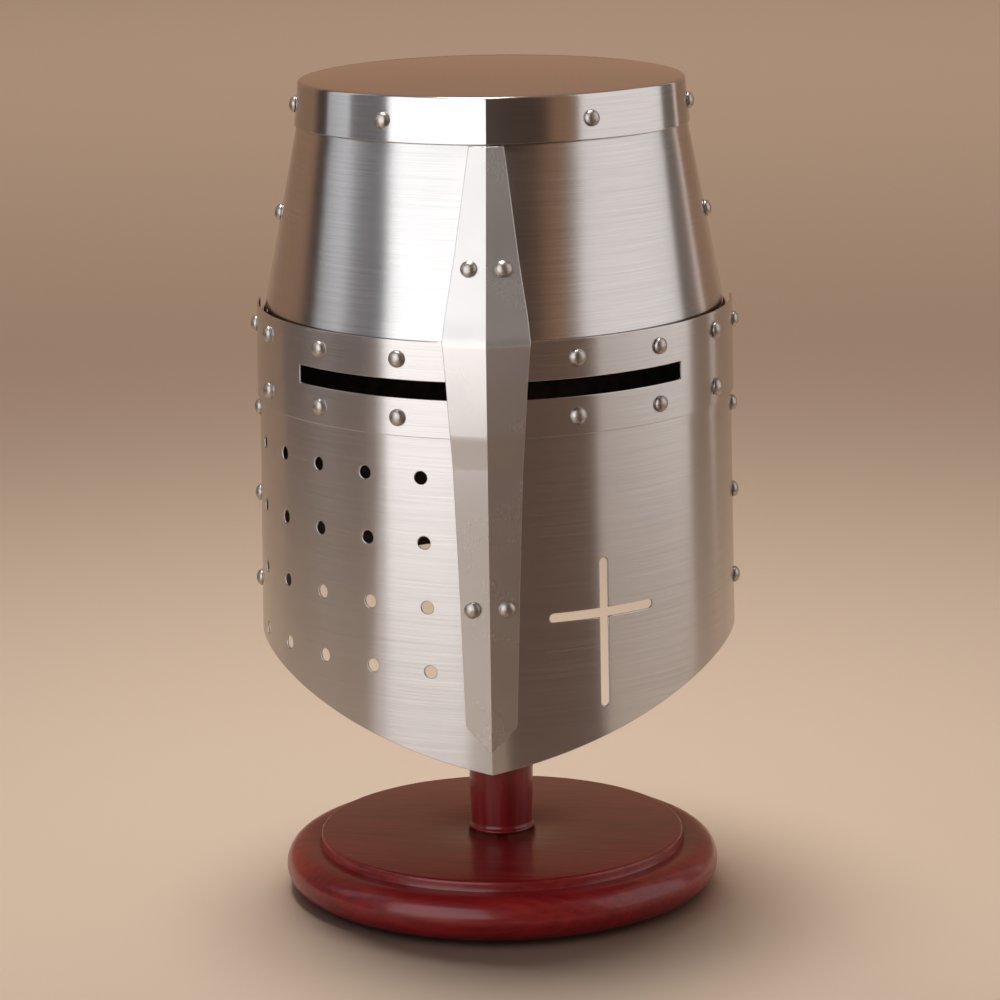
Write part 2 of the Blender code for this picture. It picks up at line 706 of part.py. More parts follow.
# ---------------------------------------------------------------------- main
def main():
    clear_scene()
    plate_steel = finish("plate_steel", (0.36, 0.33, 0.31), 0.32, 1.0)
    strip_steel = finish("strip_steel", (0.50, 0.46, 0.43), 0.30, 1.0)
    rivet_steel = finish("rivet_steel", (0.48, 0.45, 0.42), 0.28, 1.0)
    mahogany = finish("mahogany", (0.16, 0.028, 0.022), 0.28, 0.0)
    leather = finish("leather", (0.12, 0.055, 0.025), 0.60, 0.0)
    cord = finish("lace_cord", (0.08, 0.04, 0.02), 0.70, 0.0)
    felt = finish("felt", (0.02, 0.05, 0.03), 0.95, 0.0)
    brass = finish("brass", (0.55, 0.40, 0.16), 0.30, 1.0)

    front = (-SEAM_FRONT, SEAM_FRONT)
    back = (SEAM_BACK, 2 * pi - SEAM_BACK)
    skull_rows = [row[0] for row in SKULL_WALL]
    plates = {
        "crown_cap": crown_cap(plate_steel),
        "skull_front": plate("skull_front", SKULL_WALL, 0, front, skull_rows, plate_steel),
        "skull_back": plate("skull_back", SKULL_WALL, -1, back, skull_rows, plate_steel),
        "sight_band": plate("sight_band", BODY_WALL, 1, front, (BAND_TOP, BAND_FOOT), plate_steel),
        "face_plate": plate("face_plate", BODY_WALL, 0, front, (FACE_TOP, rim_height), plate_steel),
        "nape_plate": plate("nape_plate", BODY_WALL, -1, back, (NAPE_TOP, nape_rim_height),
                            plate_steel),
        "keel_strip": keel_strip(strip_steel),
        "liner_band": liner(leather, cord),
    }
    plates.update(chin_strap(leather, brass))
    all_rivets(rivet_steel, plates)
    sight_slots(plates["sight_band"])
    cross_opening(plates["face_plate"])
    breaths(plates["face_plate"])
    apply_cuts()
    stand(mahogany, felt, rivet_steel)


main()
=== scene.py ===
from math import atan2, ceil, cos, pi, radians, sin, tan

import bmesh
import bpy
import numpy as np
from mathutils import Matrix, Vector
from mathutils.geometry import delaunay_2d_cdt


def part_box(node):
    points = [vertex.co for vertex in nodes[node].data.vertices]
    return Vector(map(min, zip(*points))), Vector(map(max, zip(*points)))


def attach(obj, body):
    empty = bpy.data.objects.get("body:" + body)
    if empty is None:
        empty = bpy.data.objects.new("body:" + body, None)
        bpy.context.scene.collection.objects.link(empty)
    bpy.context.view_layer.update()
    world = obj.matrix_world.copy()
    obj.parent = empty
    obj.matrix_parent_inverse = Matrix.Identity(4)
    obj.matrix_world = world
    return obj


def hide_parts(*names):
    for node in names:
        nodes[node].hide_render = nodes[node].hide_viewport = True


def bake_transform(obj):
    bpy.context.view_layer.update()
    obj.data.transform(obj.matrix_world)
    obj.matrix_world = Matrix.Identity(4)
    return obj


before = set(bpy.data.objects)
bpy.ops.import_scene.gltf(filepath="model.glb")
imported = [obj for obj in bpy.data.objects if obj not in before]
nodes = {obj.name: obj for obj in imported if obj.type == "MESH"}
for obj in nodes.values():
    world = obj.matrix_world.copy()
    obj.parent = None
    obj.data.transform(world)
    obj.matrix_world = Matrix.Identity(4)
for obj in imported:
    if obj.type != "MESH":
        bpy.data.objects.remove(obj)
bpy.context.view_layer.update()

print("frame loaded,", len(nodes), "nodes")


# What every steel plate shares, in metres
plateRule = {
    "sheet": 0.0009,        # thickness
    "layer": 0.0012,        # one plate lies this far outside the next
    "crease": 0.0100,       # how far the fold down the front stands out
    "unroll": 0.1100,       # radius that turns round the helm are unrolled on
    "frontEnd": radians(92),    # front plates reach this far round
    "brokenEdge": 0.00038,  # radius that the cut edges are filed to
}
sheet, layer, crease = plateRule["sheet"], plateRule["layer"], plateRule["crease"]
unroll = plateRule["unroll"]

crownCap = {
    "dome": 0.0018, "corner": 0.0010, "steps": 144, "rings": (0.2, 0.4, 0.6, 0.8, 0.93),
    "underCorner": 0.0018, "overLip": 0.0010,      # rows of the turned-down edge, next to its two ends
}


def low(node):
    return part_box(node)[0]


def high(node):
    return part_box(node)[1]


def rowSize(node, height, hair=0.0004):
    row = [v.co for v in nodes[node].data.vertices if abs(v.co.z - height) < hair]
    return max(p.x for p in row), -min(p.y for p in row), max(p.y for p in row)


# A wall is a table of rows from low to high: height, half width, front, back
def skullRow(height):
    half, front, _ = rowSize("skull_front", height)
    return height, half, front - crease, rowSize("skull_back", height)[2] + layer


def readWalls():
    bandTop, lip, chin = high("sight_band").z, low("crown_cap").z, low("face_plate").z
    skull = [skullRow(h) for h in (low("skull_front").z, bandTop, lip, high("skull_front").z)]
    half, front, _ = rowSize("sight_band", bandTop)
    half, front = half - layer, front - layer - crease
    back = rowSize("nape_plate", high("nape_plate").z)[2] + layer
    flare = (high("face_plate").x - half) / (bandTop - low("nape_plate").z)
    chinHalf = half + flare * (bandTop - chin)
    chinRow = (chin, chinHalf, -low("face_plate").y - crease, high("nape_plate").y + layer)
    body = [chinRow, (bandTop, half, front, back)]
    crown = []
    for height in (lip, high("crown_cap").z - crownCap["dome"]):
        half, front, back = rowSize("crown_cap", height)
        crown.append((height, half, front - crease, back))
    return {"skull": np.array(skull), "body": np.array(body), "crown": np.array(crown)}


def wallPlace(wall, number=0):
    out = number * layer

    def place(u, v):
        turn = u / unroll
        half, front, back = (np.interp(v, wall[:, 0], wall[:, k]) for k in (1, 2, 3))
        side, facing = np.sin(turn), np.cos(turn)
        frontY = -(front + out) * facing - crease * (1 - np.abs(side))
        y = np.where(facing >= 0, frontY, -(back + out) * facing)
        return np.stack([(half + out) * side, y, v + 0 * u], axis=-1)
    return place


def normalsOf(place, u, v, step=0.0004):
    across = place(u + step, v) - place(u - step, v)
    down = place(u, v - step) - place(u, v + step)
    normal = np.cross(down, across)
    return normal / np.linalg.norm(normal, axis=-1, keepdims=True)


# Node trees

def addNode(tree, kind, inputs=None, **settings):
    node = tree.nodes.new(kind)
    for key, value in settings.items():
        setattr(node, key, value)
    for key, value in (inputs or {}).items():
        if isinstance(value, bpy.types.NodeSocket):
            tree.links.new(value, node.inputs[key])
        else:
            node.inputs[key].default_value = value
    return node


def calc(tree, operation, *values):
    return addNode(tree, "ShaderNodeMath", dict(enumerate(values)), operation=operation).outputs[0]


def plus(tree, a, b):
    return calc(tree, "ADD", a, b)


def minus(tree, a, b):
    return calc(tree, "SUBTRACT", a, b)


def times(tree, a, b):
    return calc(tree, "MULTIPLY", a, b)


def timesPlus(tree, a, b, c):
    return calc(tree, "MULTIPLY_ADD", a, b, c)


def spread(tree, pattern, width, middle):
    return timesPlus(tree, minus(tree, pattern, 0.5), width, middle)


def mixed(tree, first, second, share):
    return plus(tree, times(tree, first, share), times(tree, second, 1 - share))


def ramp(tree, factor, stops):
    node = addNode(tree, "ShaderNodeValToRGB", {0: factor})
    band = node.color_ramp.elements
    while len(band) < len(stops):
        band.new(0.5)
    for spot, (position, color) in zip(band, stops):
        spot.position = position
        spot.color = (*color, 1) if isinstance(color, tuple) else (color, color, color, 1)
    return node.outputs[0]


def newMaterial(name):
    material = bpy.data.materials.new(name)
    material.use_nodes = True
    tree = material.node_tree
    return material, tree, tree.nodes["Principled BSDF"]


def setShader(shader, values):
    for key, value in values.items():
        shader.inputs[key].default_value = value


def link(tree, output, shader, name):
    tree.links.new(output, shader.inputs[name])


def noise(tree, vector, scale, detail=3.0, roughness=0.5):
    inputs = {"Vector": vector, "Scale": scale, "Detail": detail, "Roughness": roughness}
    return addNode(tree, "ShaderNodeTexNoise", inputs).outputs["Fac"]


def bump(tree, height, strength, distance, under=None):
    inputs = {"Height": height, "Strength": strength, "Distance": distance}
    if under:
        inputs["Normal"] = under
    return addNode(tree, "ShaderNodeBump", inputs).outputs[0]


def objectSpace(tree):
    return addNode(tree, "ShaderNodeTexCoord").outputs["Object"]


def mapped(tree, vector, scale, turn=(0, 0, 0)):
    inputs = {"Vector": vector, "Scale": scale, "Rotation": turn}
    return addNode(tree, "ShaderNodeMapping", inputs).outputs[0]


# Brushed steel: its map "brush" has U across the brushing and V along it
brushedSteel = {
    "plateSteel": {"color": (0.62, 0.605, 0.60), "roughness": 0.25, "grain": 1.0, "tilt": 0.9},
    "crownSteel": {"color": (0.62, 0.605, 0.60), "roughness": 0.22, "grain": 0.9, "tilt": 0.8},
    "topSteel": {"color": (0.60, 0.58, 0.57), "roughness": 0.17, "grain": 0.4, "tilt": 1.0},
    "stripSteel": {"color": (0.62, 0.60, 0.59), "roughness": 0.27, "grain": 0.12, "tilt": 0.40},
    "anisotropic": 0.95,
    "fineScratch": (2300.0, 18.0, 1.0),    # noise cells to the metre, across and along
    "coarseScratch": (1000.0, 8.0, 1.0),
    "fineShare": 0.72,
    "darker": 0.14, "lighter": 0.08, "glossier": 0.10,    # how far the scratches change colour and gloss
    "lineBump": 0.14, "lineHeight": 0.00003,
    "wave": 11.0, "waveHeight": 0.00040,   # slow dents left by the rolling
    "stain": 34.0, "stainSpread": 0.06,
}


def makeSteel(name):
    rule, look = brushedSteel, brushedSteel[name]
    grain = look["grain"]
    material, tree, shader = newMaterial(name)
    brush = addNode(tree, "ShaderNodeUVMap", uv_map="brush").outputs[0]
    fine = noise(tree, mapped(tree, brush, rule["fineScratch"]), 1.0, 4.0, 0.65)
    coarse = noise(tree, mapped(tree, brush, rule["coarseScratch"]), 1.0, 3.0, 0.6)
    slow = noise(tree, objectSpace(tree), rule["wave"], 2.0)
    scratch = mixed(tree, fine, coarse, rule["fineShare"])
    dark = tuple(c * (1 - rule["darker"] * grain) for c in look["color"])
    light = tuple(c * (1 + rule["lighter"] * grain) for c in look["color"])
    link(tree, ramp(tree, scratch, [(0.32, dark), (0.68, light)]), shader, "Base Color")
    gloss = spread(tree, scratch, rule["glossier"] * grain, look["roughness"])
    stain = noise(tree, objectSpace(tree), rule["stain"], 4.0, 0.6)
    link(tree, spread(tree, stain, rule["stainSpread"], gloss), shader, "Roughness")
    dents = bump(tree, slow, look["tilt"], rule["waveHeight"])
    link(tree, bump(tree, scratch, rule["lineBump"] * grain, rule["lineHeight"], dents), shader, "Normal")
    tangent = addNode(tree, "ShaderNodeTangent", direction_type="UV_MAP", uv_map="brush").outputs[0]
    link(tree, tangent, shader, "Tangent")
    setShader(shader, {"Metallic": 1.0, "Anisotropic": rule["anisotropic"]})
    return material


# Other metals: pattern and bumps are noise, as cells to the metre, detail and roughness
metalLooks = {
    "rivetSteel": {"pattern": (900.0, 4.0, 0.6), "colors": [(0.3, (0.34, 0.31, 0.29)), (0.7, (0.56, 0.52, 0.49))],
                   "rough": (0.24, 0.24), "bumps": (420.0, 2.0), "bumpHeight": (0.25, 0.0003), "metallic": 1.0},
    # the inside is painted near black: painted shade for the dark inside of the helm seen through the slots and
    # breaths
    "innerSteelPaintedShade": {"pattern": (130.0, 5.0, 0.65),
                   "colors": [(0.3, (0.012, 0.011, 0.010)), (0.75, (0.045, 0.040, 0.036))],
                   "rough": (0.25, 0.42), "bumps": (130.0, 5.0, 0.65), "bumpHeight": (0.3, 0.0002), "metallic": 0.85},
    "agedBrass": {"pattern": (240.0, 5.0, 0.6),
                  "colors": [(0.3, (0.34, 0.20, 0.065)), (0.55, (0.62, 0.42, 0.16)), (0.75, (0.74, 0.54, 0.24))],
                  "rough": (0.3, 0.16), "bumps": (1100.0, 3.0), "bumpHeight": (0.12, 0.0001), "metallic": 1.0},
}


def makeMetal(name):
    look = metalLooks[name]
    material, tree, shader = newMaterial(name)
    place = objectSpace(tree)
    pattern = noise(tree, place, *look["pattern"])
    link(tree, ramp(tree, pattern, look["colors"]), shader, "Base Color")
    link(tree, timesPlus(tree, pattern, *look["rough"]), shader, "Roughness")
    link(tree, bump(tree, noise(tree, place, *look["bumps"]), *look["bumpHeight"]), shader, "Normal")
    setShader(shader, {"Metallic": look["metallic"]})
    return material


mahoganyLook = {
    "dark": (0.100, 0.0030, 0.0050), "middle": (0.200, 0.0075, 0.0095), "light": (0.290, 0.018, 0.016),
    "grain": (26.0, 340.0, 340.0),        # cells to the metre along X and across it
    "cloud": (9.0, 26.0, 26.0), "pores": (110.0, 1500.0, 1500.0), "grainShare": 0.55,
    "roughness": 0.40, "specular": 0.25, "coat": 0.55, "coatRoughness": 0.17, "coatWaves": 260.0,
}


def makeMahogany(name, turn):
    look = mahoganyLook
    material, tree, shader = newMaterial(name)
    place = mapped(tree, objectSpace(tree), (1, 1, 1), turn)
    fibre = noise(tree, mapped(tree, place, look["grain"]), 1.0, 5.0, 0.62)
    cloud = noise(tree, mapped(tree, place, look["cloud"]), 1.0, 3.0)
    tone = mixed(tree, fibre, cloud, look["grainShare"])
    stops = [(0.34, look["dark"]), (0.5, look["middle"]), (0.68, look["light"])]
    link(tree, ramp(tree, tone, stops), shader, "Base Color")
    pores = noise(tree, mapped(tree, place, look["pores"]), 1.0, 2.0)
    link(tree, bump(tree, pores, 0.05, 0.0001), shader, "Normal")
    peel = noise(tree, objectSpace(tree), look["coatWaves"], 2.0)
    link(tree, bump(tree, peel, 0.06, 0.0002), shader, "Coat Normal")
    setShader(shader, {"Roughness": look["roughness"], "Specular IOR Level": look["specular"],
                       "Coat Weight": look["coat"], "Coat Roughness": look["coatRoughness"]})
    return material


def makeLeather(name, dark, light):
    material, tree, shader = newMaterial(name)
    place = objectSpace(tree)
    cells = addNode(tree, "ShaderNodeTexVoronoi", {"Vector": place, "Scale": 900.0},
                    feature="DISTANCE_TO_EDGE")
    creases = noise(tree, place, 160.0, 5.0, 0.6)
    tone = noise(tree, place, 45.0, 4.0, 0.55)
    link(tree, ramp(tree, tone, [(0.3, dark), (0.72, light)]), shader, "Base Color")
    link(tree, timesPlus(tree, creases, 0.3, 0.42), shader, "Roughness")
    pebble = bump(tree, cells.outputs["Distance"], 0.35, 0.0003)
    link(tree, bump(tree, creases, 0.35, 0.0006, pebble), shader, "Normal")
    return material


def makeCloth(name, dark, light, scale, distance):
    material, tree, shader = newMaterial(name)
    place = objectSpace(tree)
    fuzz = noise(tree, place, scale, 5.0, 0.75)
    link(tree, ramp(tree, fuzz, [(0.3, dark), (0.7, light)]), shader, "Base Color")
    link(tree, bump(tree, fuzz, 0.7, distance), shader, "Normal")
    setShader(shader, {"Roughness": 0.95, "Sheen Weight": 0.35, "Sheen Roughness": 0.5})
    return material


materials = {name: makeSteel(name) for name in ("plateSteel", "crownSteel", "topSteel", "stripSteel")}
materials["rivet"] = makeMetal("rivetSteel")
# the inner faces of the plates get near-black steel, painted shade for the inside of the helm
materials["inner"] = makeMetal("innerSteelPaintedShade")
materials["brass"] = makeMetal("agedBrass")
materials["disc"] = makeMahogany("mahoganyDisc", (0, 0, radians(8)))
materials["post"] = makeMahogany("mahoganyPost", (0, radians(90), 0))
materials["leather"] = makeLeather("saddleLeather", (0.030, 0.012, 0.006), (0.115, 0.048, 0.020))
materials["strap"] = makeLeather("strapLeather", (0.022, 0.009, 0.005), (0.080, 0.032, 0.014))
materials["lace"] = makeCloth("waxedLace", (0.030, 0.016, 0.008), (0.10, 0.055, 0.028), 1500.0, 0.0003)
materials["felt"] = makeCloth("greenFelt", (0.006, 0.022, 0.012), (0.018, 0.060, 0.032), 2200.0, 0.0004)
materials["thread"] = makeCloth("linenThread", (0.28, 0.21, 0.13), (0.52, 0.42, 0.28), 3000.0, 0.0002)
print("materials made:", len(materials))


# Meshes

def newObject(name, data):
    made = bpy.data.objects.new(name, data)
    bpy.context.scene.collection.objects.link(made)
    return made


def meshFrom(edit, name):
    mesh = bpy.data.meshes.new(name)
    edit.to_mesh(mesh)
    edit.free()
    return mesh


def smoothMesh(edit, name, outwards=True):
    if outwards:
        bmesh.ops.recalc_face_normals(edit, faces=edit.faces)
    mesh = meshFrom(edit, name)
    mesh.shade_smooth()
    return mesh


def joinRings(edit, rings):
    # closed rings of points from the top down, and a ring of one point is a pole
    steps = max(len(ring) for ring in rings)
    for upper, lower in zip(rings, rings[1:]):
        for i in range(steps):
            k = (i + 1) % steps
            if len(upper) == 1:
                edit.faces.new((upper[0], lower[i], lower[k]))
            elif len(lower) == 1:
                edit.faces.new((upper[k], upper[i], lower[0]))
            else:
                edit.faces.new((upper[i], lower[i], lower[k], upper[k]))


def joinGrid(edit, rows):
    for upper, lower in zip(rows, rows[1:]):
        for i in range(len(upper) - 1):
            edit.faces.new((upper[i], upper[i + 1], lower[i + 1], lower[i]))


def addPiece(name, mesh, body, replaced=(), looks=()):
    piece = newObject(name, mesh)
    for look in looks:
        mesh.materials.append(materials[look])
    if body:
        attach(piece, body)
    if replaced:
        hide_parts(*replaced)
    return piece


def spaced(start, stop, pitch):
    return np.linspace(start, stop, max(2, ceil(abs(stop - start) / pitch) + 1))


def polyline(corners, pitch):
    points = []
    for a, b in zip(corners, corners[1:] + corners[:1]):
        x, y = b[0] - a[0], b[1] - a[1]
        count = max(1, ceil(np.hypot(x, y) / pitch))
        points += [(a[0] + x * i / count, a[1] + y * i / count) for i in range(count)]
    return np.array(points)


def turnedLoop(loop, anticlockwise):
    x, y = loop[:, 0], loop[:, 1]
    area = np.sum(x * np.roll(y, -1) - np.roll(x, -1) * y)
    return loop if (area > 0) == anticlockwise else loop[::-1]


def inward(loop):
    # direction from each point into the sheet, longer at a corner so the edge stays parallel
    ahead = np.roll(loop, -1, axis=0) - loop
    ahead /= np.linalg.norm(ahead, axis=1, keepdims=True)
    behind = np.roll(ahead, 1, axis=0)
    left = np.stack([-(ahead + behind)[:, 1], (ahead + behind)[:, 0]], axis=1)
    left /= np.linalg.norm(left, axis=1, keepdims=True)
    lean = np.abs(np.sum(left * np.stack([-ahead[:, 1], ahead[:, 0]], axis=1), axis=1))
    return left / np.maximum(lean, 0.45)[:, None]


def insideLoops(points, loops):
    inside = np.zeros(len(points), bool)
    for loop in loops:
        nextPoint = np.roll(loop, -1, axis=0)
        for (x1, y1), (x2, y2) in zip(loop, nextPoint):
            if y1 == y2:
                continue
            crossing = (points[:, 1] > min(y1, y2)) & (points[:, 1] <= max(y1, y2))
            inside ^= crossing & (points[:, 0] < x1 + (points[:, 1] - y1) * (x2 - x1) / (y2 - y1))
    return inside


def fillGrid(loops, pitch):
    corners = np.concatenate(loops)
    (left, foot), (right, top) = corners.min(0), corners.max(0)
    across = np.arange(ceil(left / pitch[0]), right / pitch[0]) * pitch[0]
    along = np.arange(ceil(foot / pitch[1]), top / pitch[1]) * pitch[1]
    grid = np.stack(np.meshgrid(across, along), axis=-1).reshape(-1, 2)
    grid = grid[insideLoops(grid, loops)]
    clear = np.ones(len(grid), bool)
    for start in range(0, len(grid), 500):
        part = grid[start:start + 500]
        gap = np.abs(part[:, None, :] - corners[None, :, :]) / (0.55 * np.array(pitch))
        clear[start:start + 500] = np.hypot(gap[..., 0], gap[..., 1]).min(1) > 1
    return grid[clear]


def sheetMesh(name, place, outline, holes=(), pitch=(0.0026, 0.006), folded=True, thickness=sheet,
              grain="round", filed=plateRule["brokenEdge"]):
    # A plate cut from sheet: outline and holes lie in the unrolled (u, v) plane that place() bends round.
    # Its outer face, inner face and filed edges share one set of exact normals.
    loops = [turnedLoop(outline, True)] + [turnedLoop(hole, False) for hole in holes]
    intos = [inward(loop) for loop in loops]
    angles = [0, pi / 4, pi / 2, pi / 2, 3 * pi / 4, pi]
    insets = [filed * (1 - sin(a)) for a in angles]
    depths = [filed * (1 - cos(a)) if a <= pi / 2 else thickness - filed * (1 + cos(a)) for a in angles]
    depths[3] = thickness - filed

    faceLoops = [loop + into * filed for loop, into in zip(loops, intos)]
    grid = fillGrid(loops, pitch)
    flat = [*faceLoops, grid]
    edges, start = [], 0
    for loop in faceLoops:
        count = len(loop)
        edges += [(start + i, start + (i + 1) % count) for i in range(count)]
        start += count
    if folded:        # the fold at u = 0 is a line of edges
        flat[-1] = grid = grid[np.abs(grid[:, 0]) > pitch[0] * 0.4]
        onFold = [(v, i) for i, (u, v) in enumerate(faceLoops[0]) if abs(u) < 1e-7]
        (footV, footIndex), (topV, topIndex) = min(onFold), max(onFold)
        foldV = spaced(footV, topV, pitch[1])[1:-1]
        flat.append(np.stack([0 * foldV, foldV], axis=1))
        first = start + len(grid)
        chain = [footIndex, *range(first, first + len(foldV)), topIndex]
        edges += list(zip(chain, chain[1:]))
    flat = np.concatenate(flat)
    result = delaunay_2d_cdt([Vector(p) for p in flat], edges, [], 0, 1e-9)
    source = [origin[0] for origin in result[3]]
    triangles = np.array([[source[i] for i in face] for face in result[2]])
    middle = flat[triangles].mean(axis=1)
    triangles = triangles[insideLoops(middle, faceLoops)]
    a, b, c = (flat[triangles[:, k]] for k in range(3))
    clockwise = ((b - a)[:, 0] * (c - a)[:, 1] - (b - a)[:, 1] * (c - a)[:, 0]) < 0
    triangles[clockwise] = triangles[clockwise][:, ::-1]

    # every vertex: unrolled place, depth below the outer face, edge angle, direction out of the sheet
    count = len(flat)
    uv, out = [flat, flat], [np.zeros((count, 2))] * 2
    depth, angle = ([np.zeros(count), np.full(count, inmost)] for inmost in (thickness, pi))
    faces = [tuple(t) for t in triangles] + [tuple(count + i for i in t[::-1]) for t in triangles]
    kinds = [0] * len(triangles) + [1] * len(triangles)
    total, start = 2 * count, 0
    for loop, into in zip(loops, intos):
        size = len(loop)
        rows = [list(range(start, start + size))]
        for k in (1, 2, 3, 4):
            rows.append(list(range(total, total + size)))
            uv.append(loop + into * insets[k])
            depth.append(np.full(size, depths[k]))
            angle.append(np.full(size, angles[k]))
            out.append(-into)
            total += size
        rows.append([count + i for i in rows[0]])
        for upper, lower in zip(rows, rows[1:]):
            for i in range(size):
                k = (i + 1) % size
                faces.append((upper[k], upper[i], lower[i], lower[k]))
                kinds.append(0)
        start += size
    uv, depth, angle, out = (np.concatenate(part) for part in (uv, depth, angle, out))
    out = out / np.maximum(np.linalg.norm(out, axis=1, keepdims=True), 1e-9)

    def sided(side):
        nudge = 0.0006 if folded else 0.0
        u = np.where(np.abs(uv[:, 0]) < nudge, side * nudge, uv[:, 0])
        normal = normalsOf(place, u, uv[:, 1])
        ahead = place(u + out[:, 0] * 1e-4, uv[:, 1] + out[:, 1] * 1e-4) - place(u, uv[:, 1])
        ahead /= np.maximum(np.linalg.norm(ahead, axis=1, keepdims=True), 1e-9)
        shading = normal * np.cos(angle)[:, None] + ahead * np.sin(angle)[:, None]
        return normal, shading

    normalLeft, shadeLeft = sided(-1)
    normalRight, shadeRight = sided(1)
    through = normalLeft + normalRight
    through /= np.linalg.norm(through, axis=1, keepdims=True)
    corners = place(uv[:, 0], uv[:, 1]) - through * depth[:, None]
    mesh = bpy.data.meshes.new(name)
    mesh.from_pydata(corners.tolist(), [], faces)
    mesh.update()
    layerUv = mesh.uv_layers.new(name="brush")
    owners = np.zeros(len(mesh.loops), int)
    mesh.loops.foreach_get("vertex_index", owners)
    across, along = (1, 0) if grain == "round" else (0, 1)
    layerUv.data.foreach_set("uv", np.stack([uv[owners, across], uv[owners, along]], axis=1).ravel())
    onLeft = np.concatenate([np.full(len(f), uv[list(f), 0].mean() < 0) for f in faces])
    shading = np.where(onLeft[:, None], shadeLeft[owners], shadeRight[owners])
    mesh.shade_smooth()
    mesh.polygons.foreach_set("material_index", kinds)
    mesh.normals_split_custom_set((shading / np.linalg.norm(shading, axis=1, keepdims=True)).tolist())
    return mesh


def roundHole(place, u, v, radius, steps=28):
    hair = 1e-4
    around = np.linalg.norm(place(u + hair, v) - place(u - hair, v)) / (2 * hair)
    upright = np.linalg.norm(place(u, v + hair) - place(u, v - hair)) / (2 * hair)
    turns = np.arange(steps) * 2 * pi / steps
    return np.stack([u + radius * np.cos(turns) / around, v + radius * np.sin(turns) / upright], axis=1)


# Turned work

def arc(middle, radius, start, stop, steps):
    turns = [radians(start + (stop - start) * i / steps) for i in range(steps + 1)]
    return [(middle[0] + radius * cos(t), middle[1] + radius * sin(t)) for t in turns]


def softCorners(profile, radius, steps=3):
    # rounds every corner of a profile of (radius, height) points, apart from its ends
    points = [Vector(p) for p in profile]
    result = [points[0]]
    for before, corner, after in zip(points, points[1:], points[2:]):
        back, ahead = before - corner, after - corner
        reach = min(radius, back.length * 0.45, ahead.length * 0.45)
        a, b = corner + back.normalized() * reach, corner + ahead.normalized() * reach
        for i in range(steps + 1):
            t = i / steps
            result.append(a * (1 - t) ** 2 + corner * 2 * t * (1 - t) + b * t ** 2)
    return result + [points[-1]]


def turnedMesh(name, profile, steps=128):
    # profile runs down the outer side and both its ends lie on the axis
    edit = bmesh.new()
    rows = []
    for radius, height in profile:
        if radius < 1e-6:
            rows.append([edit.verts.new((0, 0, height))])
        else:
            turns = (2 * pi * i / steps for i in range(steps))
            rows.append([edit.verts.new((radius * cos(t), radius * sin(t), height)) for t in turns])
    joinRings(edit, rows)
    mesh = smoothMesh(edit, name)
    mesh.set_sharp_from_angle(angle=radians(50))
    return mesh


def revolvedPiece(name, profile, body, replaced, look, steps=128):
    return addPiece(name, turnedMesh(name, profile, steps), body, replaced, [look])


# Geometry Nodes

def geometryTree(name, inputs):
    tree = bpy.data.node_groups.new(name, "GeometryNodeTree")
    tree.interface.new_socket("Geometry", in_out="INPUT", socket_type="NodeSocketGeometry")
    for label, kind, value in inputs:
        socket = tree.interface.new_socket(label, in_out="INPUT", socket_type="NodeSocket" + kind)
        if value is not None:
            socket.default_value = value
    tree.interface.new_socket("Geometry", in_out="OUTPUT", socket_type="NodeSocketGeometry")
    return tree, tree.nodes.new("NodeGroupInput").outputs, tree.nodes.new("NodeGroupOutput").inputs[0]


def closeTree(tree, geometry, material, result):
    real = addNode(tree, "GeometryNodeRealizeInstances", {0: geometry}).outputs[0]
    smooth = addNode(tree, "GeometryNodeSetShadeSmooth", {0: real}).outputs[0]
    final = addNode(tree, "GeometryNodeSetMaterial", {"Geometry": smooth, "Material": material}).outputs[0]
    tree.links.new(final, result)


def grow(name, data, tree, values):
    # runs a tree once and gives back its plain mesh
    seed = newObject(name, data)
    modifier = seed.modifiers.new(tree.name, "NODES")
    modifier.node_group = tree
    for item in tree.interface.items_tree:
        if item.in_out == "INPUT" and item.name in values:
            modifier[item.identifier] = values[item.name]
    bpy.context.view_layer.update()
    grown = seed.evaluated_get(bpy.context.evaluated_depsgraph_get())
    plain = bpy.data.meshes.new_from_object(grown)
    plain.name = name
    bpy.data.objects.remove(seed)
    return plain


def pointCloud(name, points, **attributes):
    mesh = bpy.data.meshes.new(name)
    mesh.from_pydata([tuple(p) for p in points], [], [])
    for key, values in attributes.items():
        vectors = isinstance(values[0], Vector)
        layerData = mesh.attributes.new(key, "FLOAT_VECTOR" if vectors else "FLOAT", "POINT").data
        flat = [x for v in values for x in v] if vectors else list(values)
        layerData.foreach_set("vector" if vectors else "value", flat)
    return mesh


def named(tree, label, kind="FLOAT"):
    return addNode(tree, "GeometryNodeInputNamedAttribute", {"Name": label}, data_type=kind).outputs[0]


def spotOf(tree):
    position = addNode(tree, "GeometryNodeInputPosition").outputs[0]
    return addNode(tree, "ShaderNodeSeparateXYZ", {0: position}).outputs


def combined(tree, x, y, z=0.0):
    return addNode(tree, "ShaderNodeCombineXYZ", {0: x, 1: y, 2: z}).outputs[0]


def scaled(tree, vector, factor):
    return addNode(tree, "ShaderNodeVectorMath", {0: vector, "Scale": factor}, operation="SCALE").outputs[0]


def stoodOn(tree, points, shape, aim, scale):
    # the shape on every point, its Z along aim
    turned = addNode(tree, "FunctionNodeAlignRotationToVector", {"Vector": aim}, axis="Z").outputs[0]
    return addNode(tree, "GeometryNodeInstanceOnPoints", {
        "Points": points, "Instance": shape, "Rotation": turned, "Scale": scale}).outputs[0]


